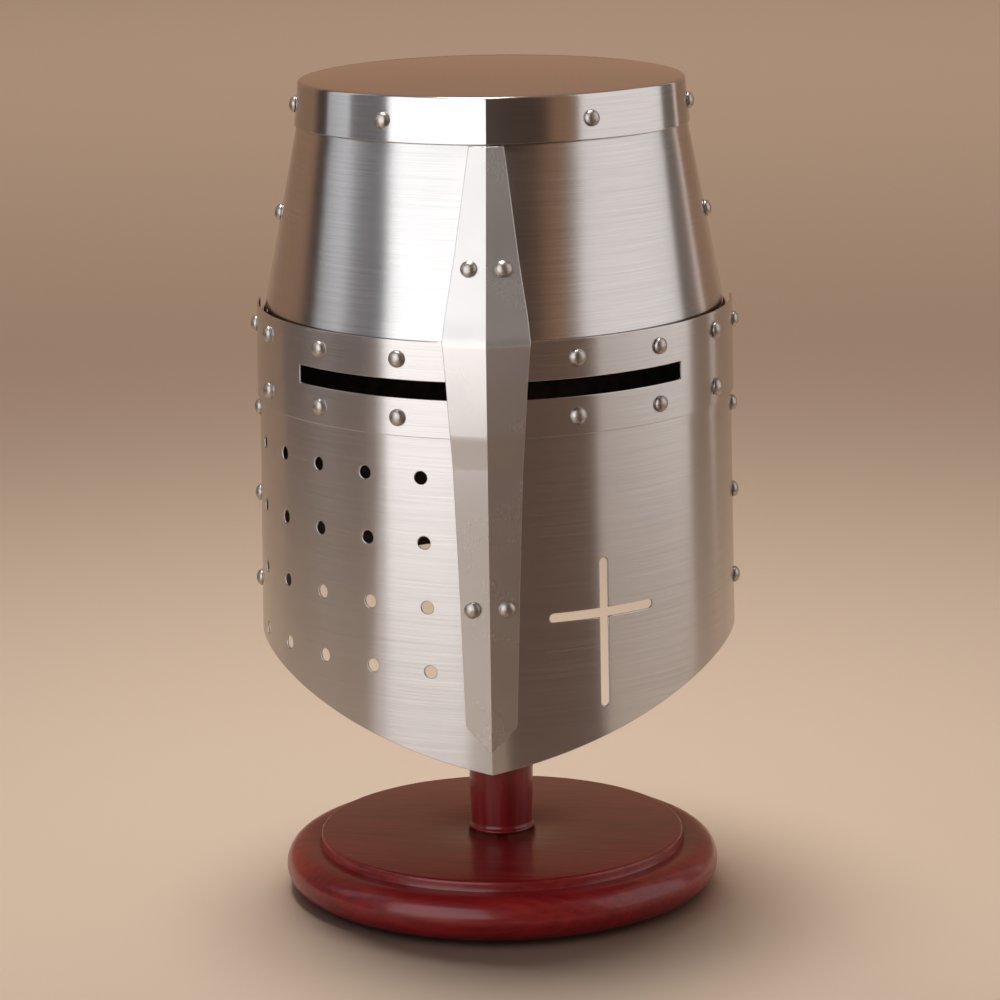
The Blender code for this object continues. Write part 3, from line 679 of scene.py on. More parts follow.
def wallSheetTree():
    # A plate that follows the helm's wall: its stations come in as points, from the top down
    tree, given, result = geometryTree("wallSheet", [
        ("First Turn", "Float", 0.0), ("Last Turn", "Float", 1.0), ("Columns", "Int", 90), ("Rows", "Int", 13),
        ("Crease", "Float", 0.01), ("Nape Arch", "Float", 0.0), ("Unroll", "Float", 0.11),
        ("Material", "Material", None),
    ])
    grid = addNode(tree, "GeometryNodeMeshGrid", {"Size X": 1.0, "Size Y": 1.0, "Vertices X": given["Columns"],
                                                  "Vertices Y": given["Rows"]})
    spot = spotOf(tree)
    share = plus(tree, spot[0], 0.5)
    sweep = minus(tree, given["Last Turn"], given["First Turn"])
    turn = timesPlus(tree, share, sweep, given["First Turn"])
    drop = minus(tree, 0.5, spot[1])
    stations = addNode(tree, "GeometryNodeAttributeDomainSize", {0: given["Geometry"]}).outputs["Point Count"]
    spans = minus(tree, stations, 1.0)
    along = times(tree, drop, spans)
    upper = calc(tree, "FLOOR", calc(tree, "MINIMUM", along, minus(tree, spans, 0.001)))
    mix = minus(tree, along, upper)

    def station(label):
        values = []
        for index in (upper, plus(tree, upper, 1.0)):
            sample = addNode(tree, "GeometryNodeSampleIndex",
                             {"Geometry": given["Geometry"], "Value": named(tree, label), "Index": index})
            values.append(sample.outputs[0])
        return timesPlus(tree, minus(tree, values[1], values[0]), mix, values[0])

    side, facing = calc(tree, "SINE", turn), calc(tree, "COSINE", turn)
    fold = times(tree, given["Crease"], minus(tree, 1.0, calc(tree, "ABSOLUTE", side)))
    frontY = minus(tree, times(tree, times(tree, station("front"), -1.0), facing), fold)
    backY = times(tree, times(tree, station("back"), -1.0), facing)
    isFront = calc(tree, "GREATER_THAN", facing, 0.0)
    y = timesPlus(tree, minus(tree, frontY, backY), isFront, backY)
    nape = calc(tree, "MAXIMUM", times(tree, facing, -1.0), 0.0)
    arch = times(tree, times(tree, given["Nape Arch"], nape), drop)
    z = plus(tree, station("height"), arch)
    place = combined(tree, times(tree, station("half"), side), y, z)
    unrolled = combined(tree, z, times(tree, turn, given["Unroll"]))
    mapNode = addNode(tree, "GeometryNodeStoreNamedAttribute",
                      {"Geometry": grid.outputs["Mesh"], "Name": "brush", "Value": unrolled},
                      data_type="FLOAT2", domain="CORNER")
    moved = addNode(tree, "GeometryNodeSetPosition", {"Geometry": mapNode.outputs[0], "Position": place})
    closeTree(tree, moved.outputs[0], given["Material"], result)
    return tree


def rivetTree():
    # Round heads stand on the points, and smaller peened tails lie a grip below them
    tree, given, result = geometryTree("rivets", [
        ("Head Radius", "Float", 0.0038), ("Head Rise", "Float", 0.0028), ("Tail Radius", "Float", 0.003),
        ("Tail Rise", "Float", 0.0012), ("Unevenness", "Float", 0.05), ("Tilt", "Float", 0.06), ("Seed", "Int", 7),
        ("Material", "Material", None),
    ])
    ball = addNode(tree, "GeometryNodeMeshUVSphere", {"Segments": 28, "Rings": 18, "Radius": 1.0})
    spot = spotOf(tree)
    flat = calc(tree, "MAXIMUM", spot[2], -0.12)        # a little below the ball's middle
    domed = combined(tree, spot[0], spot[1], flat)
    head = addNode(tree, "GeometryNodeSetPosition", {"Geometry": ball.outputs["Mesh"], "Position": domed}).outputs[0]
    lowest = times(tree, given["Unevenness"], -1.0)
    uneven = addNode(tree, "FunctionNodeRandomValue", {2: lowest, 3: 0.0, "Seed": given["Seed"]}, data_type="FLOAT")
    size = plus(tree, uneven.outputs[1], 1.0)
    lean = addNode(tree, "FunctionNodeRandomValue", {0: (-1, -1, -1), 1: (1, 1, 1), "Seed": given["Seed"]},
                   data_type="FLOAT_VECTOR").outputs[0]
    axis = named(tree, "axis", "FLOAT_VECTOR")
    upright = addNode(tree, "ShaderNodeVectorMath", {0: axis, 1: scaled(tree, lean, given["Tilt"])},
                      operation="ADD").outputs[0]
    inwards = scaled(tree, axis, -1.0)
    offset = scaled(tree, inwards, named(tree, "grip"))
    below = addNode(tree, "GeometryNodeSetPosition", {"Geometry": given["Geometry"], "Offset": offset}).outputs[0]
    joined = addNode(tree, "GeometryNodeJoinGeometry")
    for points, aim, end in ((given["Geometry"], upright, "Head"), (below, inwards, "Tail")):
        width, rise = (times(tree, given[f"{end} {way}"], size) for way in ("Radius", "Rise"))
        tree.links.new(stoodOn(tree, points, head, aim, combined(tree, width, width, rise)), joined.inputs[0])
    closeTree(tree, joined.outputs[0], given["Material"], result)
    return tree


def stitchTree():
    # Short threads that dip into the leather at both ends, along the edges of the mesh that comes in
    tree, given, result = geometryTree("stitches", [
        ("Pitch", "Float", 0.0034), ("Length", "Float", 0.0026), ("Thread", "Float", 0.00034),
        ("Material", "Material", None),
    ])
    run = addNode(tree, "GeometryNodeMeshToCurve", {0: given["Geometry"]}).outputs[0]
    even = addNode(tree, "GeometryNodeResampleCurve", {"Curve": run, "Length": given["Pitch"]},
                   mode="LENGTH").outputs[0]
    ball = addNode(tree, "GeometryNodeMeshUVSphere", {"Segments": 8, "Rings": 6, "Radius": 1.0}).outputs["Mesh"]
    tangent = addNode(tree, "GeometryNodeInputTangent").outputs[0]
    scale = combined(tree, given["Thread"], given["Thread"], times(tree, given["Length"], 0.5))
    closeTree(tree, stoodOn(tree, even, ball, tangent, scale), given["Material"], result)
    return tree


walls = readWalls()
wallSheet, rivets, stitches = wallSheetTree(), rivetTree(), stitchTree()
print("walls read and node trees built")


# Finishing of the plates that a tree or a loft makes

def thicken(piece, thickness=sheet, edge=None):
    wall = piece.modifiers.new("thickness", "SOLIDIFY")
    wall.thickness, wall.offset, wall.use_even_offset = thickness, -1, True
    wall.material_offset = len(piece.data.materials) - 1
    wall.material_offset_rim = 0
    filed = piece.modifiers.new("filedEdge", "BEVEL")
    filed.width, filed.segments, filed.limit_method = edge or plateRule["brokenEdge"], 2, "ANGLE"
    filed.angle_limit, filed.harden_normals, filed.use_clamp_overlap = radians(60), True, True


def sharpFold(mesh, kinks=()):
    # the fold down the front, and the kinks where one cone of the wall meets the next, stay crisp
    place = [v.co for v in mesh.vertices]
    for edge in mesh.edges:
        a, b = (place[i] for i in edge.vertices)
        onFold = abs(a.x) < 1e-5 and abs(b.x) < 1e-5 and a.y < 0 and abs(a.z - b.z) > 1e-5
        onKink = any(abs(a.z - kink) < 1e-5 and abs(b.z - kink) < 1e-5 for kink in kinks)
        edge.use_edge_sharp = onFold or onKink


wallPlates = {
    "skull_front": {"wall": "skull", "number": 0, "turns": (-92, 92), "columns": 93, "rows": 25, "arch": 0.0},
    "skull_back": {"wall": "skull", "number": -1, "turns": (82, 278), "columns": 99, "rows": 25, "arch": 0.0},
    "nape_plate": {"wall": "body", "number": -1, "turns": (82, 278), "columns": 99, "rows": 31, "arch": 0.010},
}


def buildWallPlate(node):
    rule = wallPlates[node]
    wall, out = walls[rule["wall"]], rule["number"] * layer
    top, foot = high(node).z, low(node).z
    if rule["wall"] == "skull":
        heights = wall[::-1, 0]
    else:
        heights = np.array([top, (top + foot) / 2, foot])
    size = [np.interp(heights, wall[:, 0], wall[:, k]) + out for k in (1, 2, 3)]
    chain = pointCloud(node + "_stations", [(0, 0, h) for h in heights], height=heights.tolist(),
                       half=size[0].tolist(), front=size[1].tolist(), back=size[2].tolist())
    mesh = grow(node + "_steel", chain, wallSheet, {
        "First Turn": radians(rule["turns"][0]), "Last Turn": radians(rule["turns"][1]), "Columns": rule["columns"],
        "Rows": rule["rows"], "Crease": crease, "Nape Arch": rule["arch"], "Unroll": unroll,
        "Material": materials["plateSteel"]})
    sharpFold(mesh, heights[1:-1] if rule["wall"] == "skull" else ())
    piece = addPiece(node + "_steel", mesh, "helm", [node], ["inner"])
    thicken(piece)


for plateName in wallPlates:
    buildWallPlate(plateName)
print("skull and nape plates rolled")


def buildCrown():
    place = wallPlace(walls["crown"])
    lip, rim = walls["crown"][0, 0], walls["crown"][1, 0]
    u = np.arange(crownCap["steps"]) * 2 * pi * unroll / crownCap["steps"]
    corner = place(u, np.full_like(u, rim))
    centre = np.array([0, corner[:, 1].mean(), rim])
    inset = 1 - crownCap["corner"] / np.linalg.norm(corner - centre, axis=1)
    rows = []
    for share in (*crownCap["rings"], 1):
        s = share * inset
        ring = centre + (corner - centre) * s[:, None]
        ring[:, 2] += crownCap["dome"] * (1 - s ** 2)
        rows.append(ring)
    above, below = rows[-1], place(u, np.full_like(u, rim - crownCap["corner"]))
    for t in (0.25, 0.5, 0.75):
        rows.append(above * (1 - t) ** 2 + corner * 2 * t * (1 - t) + below * t ** 2)
    for height in (rim - crownCap["corner"], rim - crownCap["underCorner"], (rim + lip) / 2,
                   lip + crownCap["overLip"], lip):
        rows.append(place(u, np.full_like(u, height)))
    edit = bmesh.new()
    brush = edit.loops.layers.uv.new("brush")
    pole = [(centre[0], centre[1], rim + crownCap["dome"])]
    joinRings(edit, [[edit.verts.new(p) for p in ring] for ring in (pole, *rows)])
    for face in edit.faces:
        flat = abs(face.normal.z) > 0.7 or face.calc_center_median().z > rim
        wide = max(loop.vert.co.y for loop in face.loops) > 0.02
        face.material_index = 0 if flat else 1
        for loop in face.loops:
            p = loop.vert.co
            turn = atan2(p.x, -p.y)
            turn += 2 * pi if wide and turn < 0 else 0
            loop[brush].uv = (p.x, p.y) if flat else (p.z, turn * unroll)
    edit.normal_update()
    mesh = smoothMesh(edit, "crown_steel", outwards=False)
    sharpFold(mesh)
    for edge in mesh.edges:      # the fold fades out where the crown turns flat
        if max(mesh.vertices[i].co.z for i in edge.vertices) > rim - crownCap["corner"] * 0.5:
            edge.use_edge_sharp = False
    piece = addPiece("crown_steel", mesh, "helm", ["crown_cap"], ["topSteel", "crownSteel", "inner"])
    thicken(piece)


buildCrown()


# Face plate with its breaths and cross, and the band with the sight slots
facePlate = {
    "breathRadius": 0.0029, "firstTurn": radians(15.8), "turnPitch": radians(14.4), "lean": radians(0.6),
    "columns": 5, "rows": 4, "topRow": 0.2176, "rowDrop": 0.0286, "edge": 0.008,
    "rimShares": (0.61, 0.39, 2.5),
    "crossTurn": radians(27), "crossHeight": 0.1554, "crossUp": 0.0242, "crossDown": 0.0421,
    "crossSpan": 0.0520, "crossWidth": 0.0040,
}


def rimHeight(turn):
    side = np.abs(np.sin(turn))
    straight, curved, power = facePlate["rimShares"]
    chin, ear = low("face_plate").z, low("nape_plate").z
    return chin + (ear - chin) * (straight * side + curved * side ** power)


def crossLoop():
    # both bars have round ends; across is measured square to the plate, so it is unrolled again
    half, reach = facePlate["crossWidth"] / 2, facePlate["crossSpan"] / 2
    up, down = facePlate["crossUp"], facePlate["crossDown"]
    points = []
    for quarter, length in enumerate((reach, up, reach, down)):
        turn = quarter * pi / 2
        bar = [(half * cos(t), half * sin(t)) for t in np.linspace(-pi / 2, pi / 2, 9)]
        bar = [(length - half + x, y) for x, y in bar]
        steps = np.linspace(half, length - half, 9)[:-1]
        bar = [(s, -half) for s in steps] + bar + [(s, half) for s in steps[::-1]]
        if quarter:
            bar = bar[1:]
        points += [(x * cos(turn) - y * sin(turn), x * sin(turn) + y * cos(turn)) for x, y in bar]
    points = np.array(points[:-1])
    turn, height = facePlate["crossTurn"], facePlate["crossHeight"]
    place, middle, hair = wallPlace(walls["body"]), turn * unroll, 1e-4
    stretch = np.linalg.norm(place(middle + hair, height) - place(middle - hair, height)) / (2 * hair)
    across = np.arcsin(points[:, 0] / unroll) * unroll / stretch
    return np.stack([middle + across, height + points[:, 1]], axis=1)


def buildFacePlate():
    place, end = wallPlace(walls["body"]), plateRule["frontEnd"]
    turns = np.linspace(-end, end, 161)
    rim = [(t * unroll, float(rimHeight(t))) for t in turns]
    rim[80] = (0.0, rim[80][1])
    top = high("face_plate").z
    side = [(end * unroll, h) for h in spaced(rim[-1][1], top, 0.006)[1:-1]]
    upper = [(-u, top) for u, _ in rim]
    outline = np.array(rim + side + upper + [(-u, h) for u, h in side[::-1]])
    holes = [crossLoop()]
    for column in range(facePlate["columns"]):
        for row in range(facePlate["rows"]):
            lean = facePlate["lean"] * row * (1 - column / (2 * facePlate["columns"]))
            turn = -(facePlate["firstTurn"] + facePlate["turnPitch"] * column - lean)
            height = facePlate["topRow"] - facePlate["rowDrop"] * row
            if height - rimHeight(turn) > facePlate["edge"]:
                holes.append(roundHole(place, turn * unroll, height, facePlate["breathRadius"]))
    mesh = sheetMesh("face_steel", place, outline, holes)
    addPiece("face_steel", mesh, "helm", ["face_plate"], ["plateSteel", "inner"])
    print("face plate:", len(holes) - 1, "breaths and a cross")


sightBand = {"slotTop": 0.2600, "slotFoot": 0.2522, "inner": 0.0140, "outer": 0.0830}


def buildSightBand():
    place, end = wallPlace(walls["body"], 1), plateRule["frontEnd"]
    turns = np.linspace(-end, end, 161)
    turns[80] = 0.0
    foot, top = low("sight_band").z, high("sight_band").z
    side = [(end * unroll, h) for h in spaced(foot, top, 0.006)[1:-1]]
    lower = [(t * unroll, foot) for t in turns]
    outline = np.array(lower + side + [(-u, top) for u, _ in lower] + [(-u, h) for u, h in side[::-1]])
    half = walls["body"][1, 1] + layer
    near, far = (np.arcsin(sightBand[k] / half) * unroll for k in ("inner", "outer"))
    slot = [(near, sightBand["slotFoot"]), (far, sightBand["slotFoot"]),
            (far, sightBand["slotTop"]), (near, sightBand["slotTop"])]
    holes = [polyline(slot, 0.002), polyline([(-u, v) for u, v in slot], 0.002)]
    mesh = sheetMesh("band_steel", place, outline, holes)
    addPiece("band_steel", mesh, "helm", ["sight_band"], ["plateSteel", "inner"])


buildFacePlate()
buildSightBand()

keelStrip = {"stations": (0.3564, 0.3100, 0.2860, 0.2773, 0.2620, 0.2354, 0.2240, 0.1750, 0.1085)}


def buildKeel():
    rows = []
    for height in keelStrip["stations"]:
        row = [v.co for v in nodes["keel_strip"].data.vertices if abs(v.co.z - height) < 0.0001]
        edge = max(row, key=lambda p: (round(p.x, 5), -p.y))
        rows.append((height, edge.x, edge.y, min(p.y for p in row)))
    rows = np.array(rows[::-1])

    def place(x, z):
        half, edge, ridge = (np.interp(z, rows[:, 0], rows[:, k]) for k in (1, 2, 3))
        y = ridge + (edge - ridge) * np.minimum(np.abs(x) / half, 1.2)
        return np.stack([x + 0 * z, y, z + 0 * x], axis=-1)

    corners = [(half, z) for z, half, _, _ in rows]
    tip = low("keel_strip").z
    outline = [(0.0, tip)] + corners + [(0.0, rows[-1, 0])] + [(-x, z) for x, z in corners[::-1]]
    mesh = sheetMesh("keel_steel", place, polyline(outline, 0.003), pitch=(0.0030, 0.0022), grain="down")
    addPiece("keel_steel", mesh, "helm", ["keel_strip"], ["stripSteel", "inner"])


buildKeel()
print("crown, face, band and keel made")


rivetLook = {"headRadius": 0.0038, "headRise": 0.0028, "tailRadius": 0.0030, "tailRise": 0.0012,
             "hammered": 0.93, "unevenness": 0.04, "tilt": 0.04, "seed": 11}


def readRivet(node):
    # axis of a turned piece: the direction whose spread differs from the other two
    corners = np.array([v.co for v in nodes[node].data.vertices])
    middle = (corners.max(0) + corners.min(0)) / 2
    unique = np.unique(np.round(corners, 6), axis=0)
    values, vectors = np.linalg.eigh(np.cov((unique - unique.mean(0)).T))
    axis = vectors[:, 2] if values[2] - values[1] > values[1] - values[0] else vectors[:, 0]
    if np.dot(axis, (middle[0], middle[1], 0.0)) < 0:
        axis = -axis
    along = (unique - unique.mean(0)) @ axis
    base = unique.mean(0) + axis * (along.max() - rivetLook["headRise"])
    grip = along.max() - along.min() - rivetLook["headRise"] - rivetLook["tailRise"]
    return Vector(base), Vector(axis), float(grip)


def buildRivets():
    names = sorted(n for n in nodes if n.startswith("rivet_"))
    found = [readRivet(n) for n in names]
    bases, axes, grips = zip(*found)
    points = pointCloud("rivet_points", bases, axis=axes, grip=grips)
    mesh = grow("rivet_heads", points, rivets, {
        "Head Radius": rivetLook["headRadius"], "Head Rise": rivetLook["headRise"] * rivetLook["hammered"],
        "Tail Radius": rivetLook["tailRadius"], "Tail Rise": rivetLook["tailRise"],
        "Unevenness": rivetLook["unevenness"], "Tilt": rivetLook["tilt"], "Seed": rivetLook["seed"],
        "Material": materials["rivet"]})
    addPiece("rivet_heads", mesh, "helm", names)
    print("rivets:", len(names))


buildRivets()


# Leather liner: a brow band, eight tongues drawn together by a lace, and the chin strap
liner = {
    "leather": 0.0025, "softEdge": 0.0008, "steps": 144, "stitchInset": 0.0035,
    "waves": 7, "waveHeight": 0.0003,       # the brow band's uneven fit, always inwards
    "tongues": 8, "tongueGap": radians(3.0), "tongueLeather": 0.0020, "tongueEdge": 0.0006,
    "eye": 0.0180, "eyeTop": 0.3560, "waist": 0.16, "narrowing": 0.10, "sag": 0.0014, "sink": 0.0003,
    "clear": 0.0004,
    "laceRadius": 0.00128, "laceSteps": 160, "laceWander": 0.0012, "laceDip": 0.0006,
}


def linerOutline(reach, front, back, turn):
    return Vector((reach * sin(turn), (-front if cos(turn) >= 0 else -back) * cos(turn), 0))


def sew(name, runs, closed, body):
    points, edges = [], []
    for run in runs:
        first = len(points)
        points += [tuple(p) for p in run]
        count = len(run)
        edges += [(first + i, first + (i + 1) % count) for i in range(count if closed else count - 1)]
    path = bpy.data.meshes.new(name + "_path")
    path.from_pydata(points, edges, [])
    addPiece(name, grow(name, path, stitches, {"Material": materials["thread"]}), body)


def buildLinerBand():
    foot, top = low("liner_band").z, high("liner_band").z
    footSize, topSize = rowSize("liner_band", foot), rowSize("liner_band", top)
    leather, soft = liner["leather"], liner["softEdge"]

    def sizeAt(height, depth):
        share = (height - foot) / (top - foot)
        return [a + (b - a) * share - depth for a, b in zip(footSize, topSize)]

    # its section, down the outer face and up the inner one: depth in from the outer face, and height
    rounding, quarters = [(soft, 0.0), (0.25 * soft, 0.25 * soft), (0.0, soft)], (0.25, 0.5, 0.75)
    section = [(d, top - h) for d, h in rounding] + [(0.0, top + (foot - top) * s) for s in quarters]
    section += [(d, foot + h) for d, h in rounding[::-1]] + [(leather - d, foot + h) for d, h in rounding]
    section += [(leather, top + (foot - top) * s) for s in quarters[::-1]]
    section += [(leather - d, top - h) for d, h in rounding[::-1]]
    turns = [2 * pi * i / liner["steps"] for i in range(liner["steps"])]
    edit = bmesh.new()
    rows = []
    for turn in turns:
        ring = []
        for depth, height in section:
            wave = liner["waveHeight"] * ((sin(liner["waves"] * turn) if height > foot else 0) - 1)
            point = linerOutline(*sizeAt(height, depth - wave), turn)
            ring.append(edit.verts.new((point.x, point.y, height)))
        rows.append(ring)
    for here, ahead in zip(rows, rows[1:] + rows[:1]):
        for j in range(len(section)):
            k = (j + 1) % len(section)
            edit.faces.new((here[j], here[k], ahead[k], ahead[j]))
    addPiece("liner_brow", smoothMesh(edit, "liner_brow"), "helm", ["liner_band"], ["leather"])
    runs = []
    for height in (foot + liner["stitchInset"], top - liner["stitchInset"]):
        size = sizeAt(height, leather)
        runs.append([linerOutline(*size, turn) + Vector((0, 0, height)) for turn in turns])
    sew("liner_stitches", runs, True, "helm")


def buildTongues():
    seat = low("liner_crown").z
    half, front, back = (s - liner["clear"] for s in rowSize("liner_band", high("liner_band").z))
    eye, rise, tongues = liner["eye"], liner["eyeTop"] - seat, liner["tongues"]
    edit = bmesh.new()
    rows, columns = 16, 10
    for number in range(tongues):
        middle = 2 * pi * (number + 0.5) / tongues
        grid = []
        for j in range(rows + 1):
            share = 1 - j / rows        # 1 at the brow band and 0 at the eye
            waist = 1.0 - liner["waist"] * sin(pi * share) - liner["narrowing"] * (1 - share)
            width = (pi / tongues - liner["tongueGap"] / 2) * waist
            height = seat + rise * cos(share * pi / 2) - liner["sink"]
            line = []
            for i in range(columns + 1):
                across = 2 * i / columns - 1
                turn = middle + width * across
                hole = Vector((eye * sin(turn), -eye * cos(turn), 0))
                point = hole.lerp(linerOutline(half, front, back, turn), share)
                point.z = height - liner["sag"] * across ** 2 * sin(pi * share)
                line.append(edit.verts.new(point))
            grid.append(line)
        joinGrid(edit, grid)
    edit.normal_update()
    if sum(f.normal.z for f in edit.faces) < 0:
        bmesh.ops.reverse_faces(edit, faces=edit.faces)
    mesh = smoothMesh(edit, "liner_tongues", outwards=False)
    piece = addPiece("liner_tongues", mesh, "helm", ["liner_crown"], ["leather"])
    thicken(piece, liner["tongueLeather"], liner["tongueEdge"])


def tubeMesh(name, points, radius, closed=False, sides=3):
    # a round rod along smooth points, made a plain mesh
    curve = bpy.data.curves.new(name, "CURVE")
    curve.dimensions, curve.bevel_depth, curve.bevel_resolution = "3D", radius, sides
    curve.use_fill_caps = not closed
    spline = curve.splines.new("POLY")
    spline.points.add(len(points) - 1)
    for spot, point in zip(spline.points, points):
        spot.co = (*point, 1)
    spline.use_cyclic_u = closed
    rod = newObject(name, curve)
    bpy.context.view_layer.update()
    mesh = bpy.data.meshes.new_from_object(rod.evaluated_get(bpy.context.evaluated_depsgraph_get()))
    bpy.data.objects.remove(rod)
    edit = bmesh.new()
    edit.from_mesh(mesh)
    bmesh.ops.remove_doubles(edit, verts=edit.verts, dist=0.000005)
    bmesh.ops.recalc_face_normals(edit, faces=edit.faces)
    edit.to_mesh(mesh)
    edit.free()
    mesh.name = name
    mesh.shade_smooth()
    return mesh


def buildLace():
    middle = (low("liner_lace").z + high("liner_lace").z) / 2
    points = []
    for i in range(liner["laceSteps"]):
        turn = 2 * pi * i / liner["laceSteps"]
        swing = cos(liner["tongues"] * turn)
        reach = liner["eye"] + liner["laceWander"] * swing
        points.append((reach * sin(turn), -reach * cos(turn), middle - liner["laceDip"] * swing))
    lace = tubeMesh("draw_lace", points, liner["laceRadius"], True)
    addPiece("draw_lace", lace, "helm", ["liner_lace"], ["lace"])


buildLinerBand()
buildTongues()
buildLace()

chinStrap = {
    "edge": 0.0007, "tabRound": 0.003, "holes": 5, "firstHole": 0.016, "holePitch": 0.011, "holeRadius": 0.0014,
    "point": 0.009, "stitchInset": 0.0024, "stitchFoot": 0.011, "stitchTop": 0.006, "blend": 0.0045,
}
strapMiddle = (low("strap_left").y + high("strap_left").y) / 2


def strapPlace(x, side):
    # u runs across the strap and v up it, and the outer face looks away from the wearer
    def place(u, v):
        return np.stack([x + 0 * u + 0 * v, side * u + 0 * v + strapMiddle, v + 0 * u], axis=-1)
    return place


def buildStrap(hand):
    side = 1 if hand == "left" else -1
    strap, tab = f"strap_{hand}", f"strap_tab_{hand}"
    outer = high(strap).x if side > 0 else low(strap).x
    top, foot, bow = high(tab).z, low(strap).z, chinStrap["tabRound"]
    half = (high(strap).y - low(strap).y) / 2
    crown = [(half * cos(a) * 0.999, top - bow + bow * sin(a)) for a in np.linspace(0, pi, 9)]
    place, tip, holes = strapPlace(outer, side), [(-half, foot), (half, foot)], []
    if hand == "right":       # the end with the holes is cut to a point
        tip = [(-half, foot + chinStrap["point"]), (0.0, foot), (half, foot + chinStrap["point"])]
        for i in range(chinStrap["holes"]):
            height = foot + chinStrap["firstHole"] + chinStrap["holePitch"] * i
            holes.append(roundHole(place, 0.0, height, chinStrap["holeRadius"], 16))
    mesh = sheetMesh(strap + "_leather", place, polyline(tip + crown, 0.0025), holes, pitch=(0.0028, 0.0018),
                     folded=False, thickness=liner["leather"], grain="down", filed=chinStrap["edge"])
    piece = addPiece(strap + "_leather", mesh, None, [strap, tab], ["strap", "strap"])
    hinge = (low(tab).z + high(strap).z) / 2
    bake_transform(piece)
    reach, runs = half - chinStrap["stitchInset"], []
    heights = spaced(foot + chinStrap["stitchFoot"], hinge - chinStrap["stitchTop"], 0.01)
    for face in (outer, outer - side * liner["leather"]):
        for across in (reach, -reach):
            runs.append([Vector((face, strapMiddle + across, h)) for h in heights])
    sew(strap + "_stitches", runs, False, strap)


buckleLook = {
    "bar": 0.0028, "corner": 0.0032, "prong": 0.00085, "prongEnd": 0.0009,
    # the strap's end is skived thin and wraps the top bar, with a slit that the prong passes
    "loop": 0.0010, "loopEdge": 0.0003, "loopClear": 0.0002, "loopHalf": 0.0062, "slit": 0.35, "slitTop": 0.0004,
    "loopSeam": (0.010, 0.003),
}


def buildBuckle():
    start, stop = low("strap_buckle"), high("strap_buckle")
    x, bar, corner = (start.x + stop.x) / 2, buckleLook["bar"], buckleLook["corner"]
    halfY, halfZ = (stop.y - start.y - bar) / 2, (stop.z - start.z - bar) / 2
    middle = (start + stop) / 2
    points = []
    for quarter, (sy, sz) in enumerate(((1, 1), (-1, 1), (-1, -1), (1, -1))):
        for step in range(7):
            turn = quarter * pi / 2 + step * pi / 12
            points.append((x, middle.y + sy * (halfY - corner) + corner * cos(turn),
                           middle.z + sz * (halfZ - corner) + corner * sin(turn)))
    frameMesh = tubeMesh("buckle_frame", points, bar / 2, True, 4)
    addPiece("buckle_frame", frameMesh, "strap_left", ["strap_buckle"], ["brass"])

    foot, outer, inner = low("strap_left").z, high("strap_left").x, low("strap_left").x
    radius, barZ = bar / 2 + buckleLook["loopClear"] + buckleLook["loop"], stop.z - bar / 2
    seam = [foot + rise for rise in buckleLook["loopSeam"]]
    path = [(outer, z) for z in seam]
    path += [(x + radius * cos(a), barZ + radius * sin(a)) for a in np.linspace(0.5, -pi - 0.5, 15)]
    path += [(inner, z) for z in seam[::-1]]
    slit = buckleLook["slit"]
    edit = bmesh.new()
    rows = []
    for px, pz in path:
        rows.append([edit.verts.new((px, strapMiddle + share * buckleLook["loopHalf"], pz))
                     for share in (-1, -slit, slit, 1)])
    for upper, lower in zip(rows, rows[1:]):
        for i in range(3):
            if i != 1 or min(upper[0].co.z, lower[0].co.z) >= barZ + buckleLook["slitTop"]:
                edit.faces.new((upper[i], lower[i], lower[i + 1], upper[i + 1]))
    loop = addPiece("strap_loop", smoothMesh(edit, "strap_loop"), "strap_left", (), ["strap"])
    thicken(loop, buckleLook["loop"], buckleLook["loopEdge"])

    start, stop, end = low("buckle_prong"), high("buckle_prong"), buckleLook["prongEnd"]
    px, py = (start.x + stop.x) / 2, (start.y + stop.y) / 2
    prongMesh = tubeMesh("prong_rod", [(px, py, z) for z in np.linspace(stop.z - end, start.z + end, 14)],
                         buckleLook["prong"])
    addPiece("prong_rod", prongMesh, "buckle_prong", ["buckle_prong"], ["brass"])


buildStrap("left")
buildStrap("right")
buildBuckle()
print("liner, straps and buckle made")


# Turned stand: pairs are a radius and a height, measured from the place that the note names
standLook = {
    "step": 0.0045, "chamfer": 0.0012, "groove": 0.0006, "discRound": 0.0016, "bore": 0.0028, "boreEdge": 0.0003,
    "tenon": 0.0080, "tenonEdge": (0.0003, 0.0006), "knobGap": 0.0003, "postRound": 0.006, "postBead": 0.0009,
    "neck": [(0.0125, 0), (0.0125, 0.010), (0.0110, 0.018), (0.0118, 0.080), (0.0138, 0.160)],    # below the knob
    "ankle": [(0.0150, 0.040), (0.0146, 0.016), (0.0139, 0.0034), (0.0142, 0.0024)],     # above the base
    "knobTop": [(0.020, 0), (0.025, 0.0001)], "knobRound": 0.012, "knobDrop": 0.014, "knobBore": 0.0084,
    "knobFoot": [(0.0190, 0.008), (0.0172, 0.003), (0.0165, 0.0008), (0.0160, 0)],       # above the knob's foot
    "cushion": [(0, 0), (0.016, 0.0001), (0.024, 0.0005), (0.0285, 0.0018)],             # below its top
    "cushionRim": 0.0042, "cushionFoot": 0.0012, "feltEdge": (0.0004, 0.0005), "feltFoot": 0.0001,
}


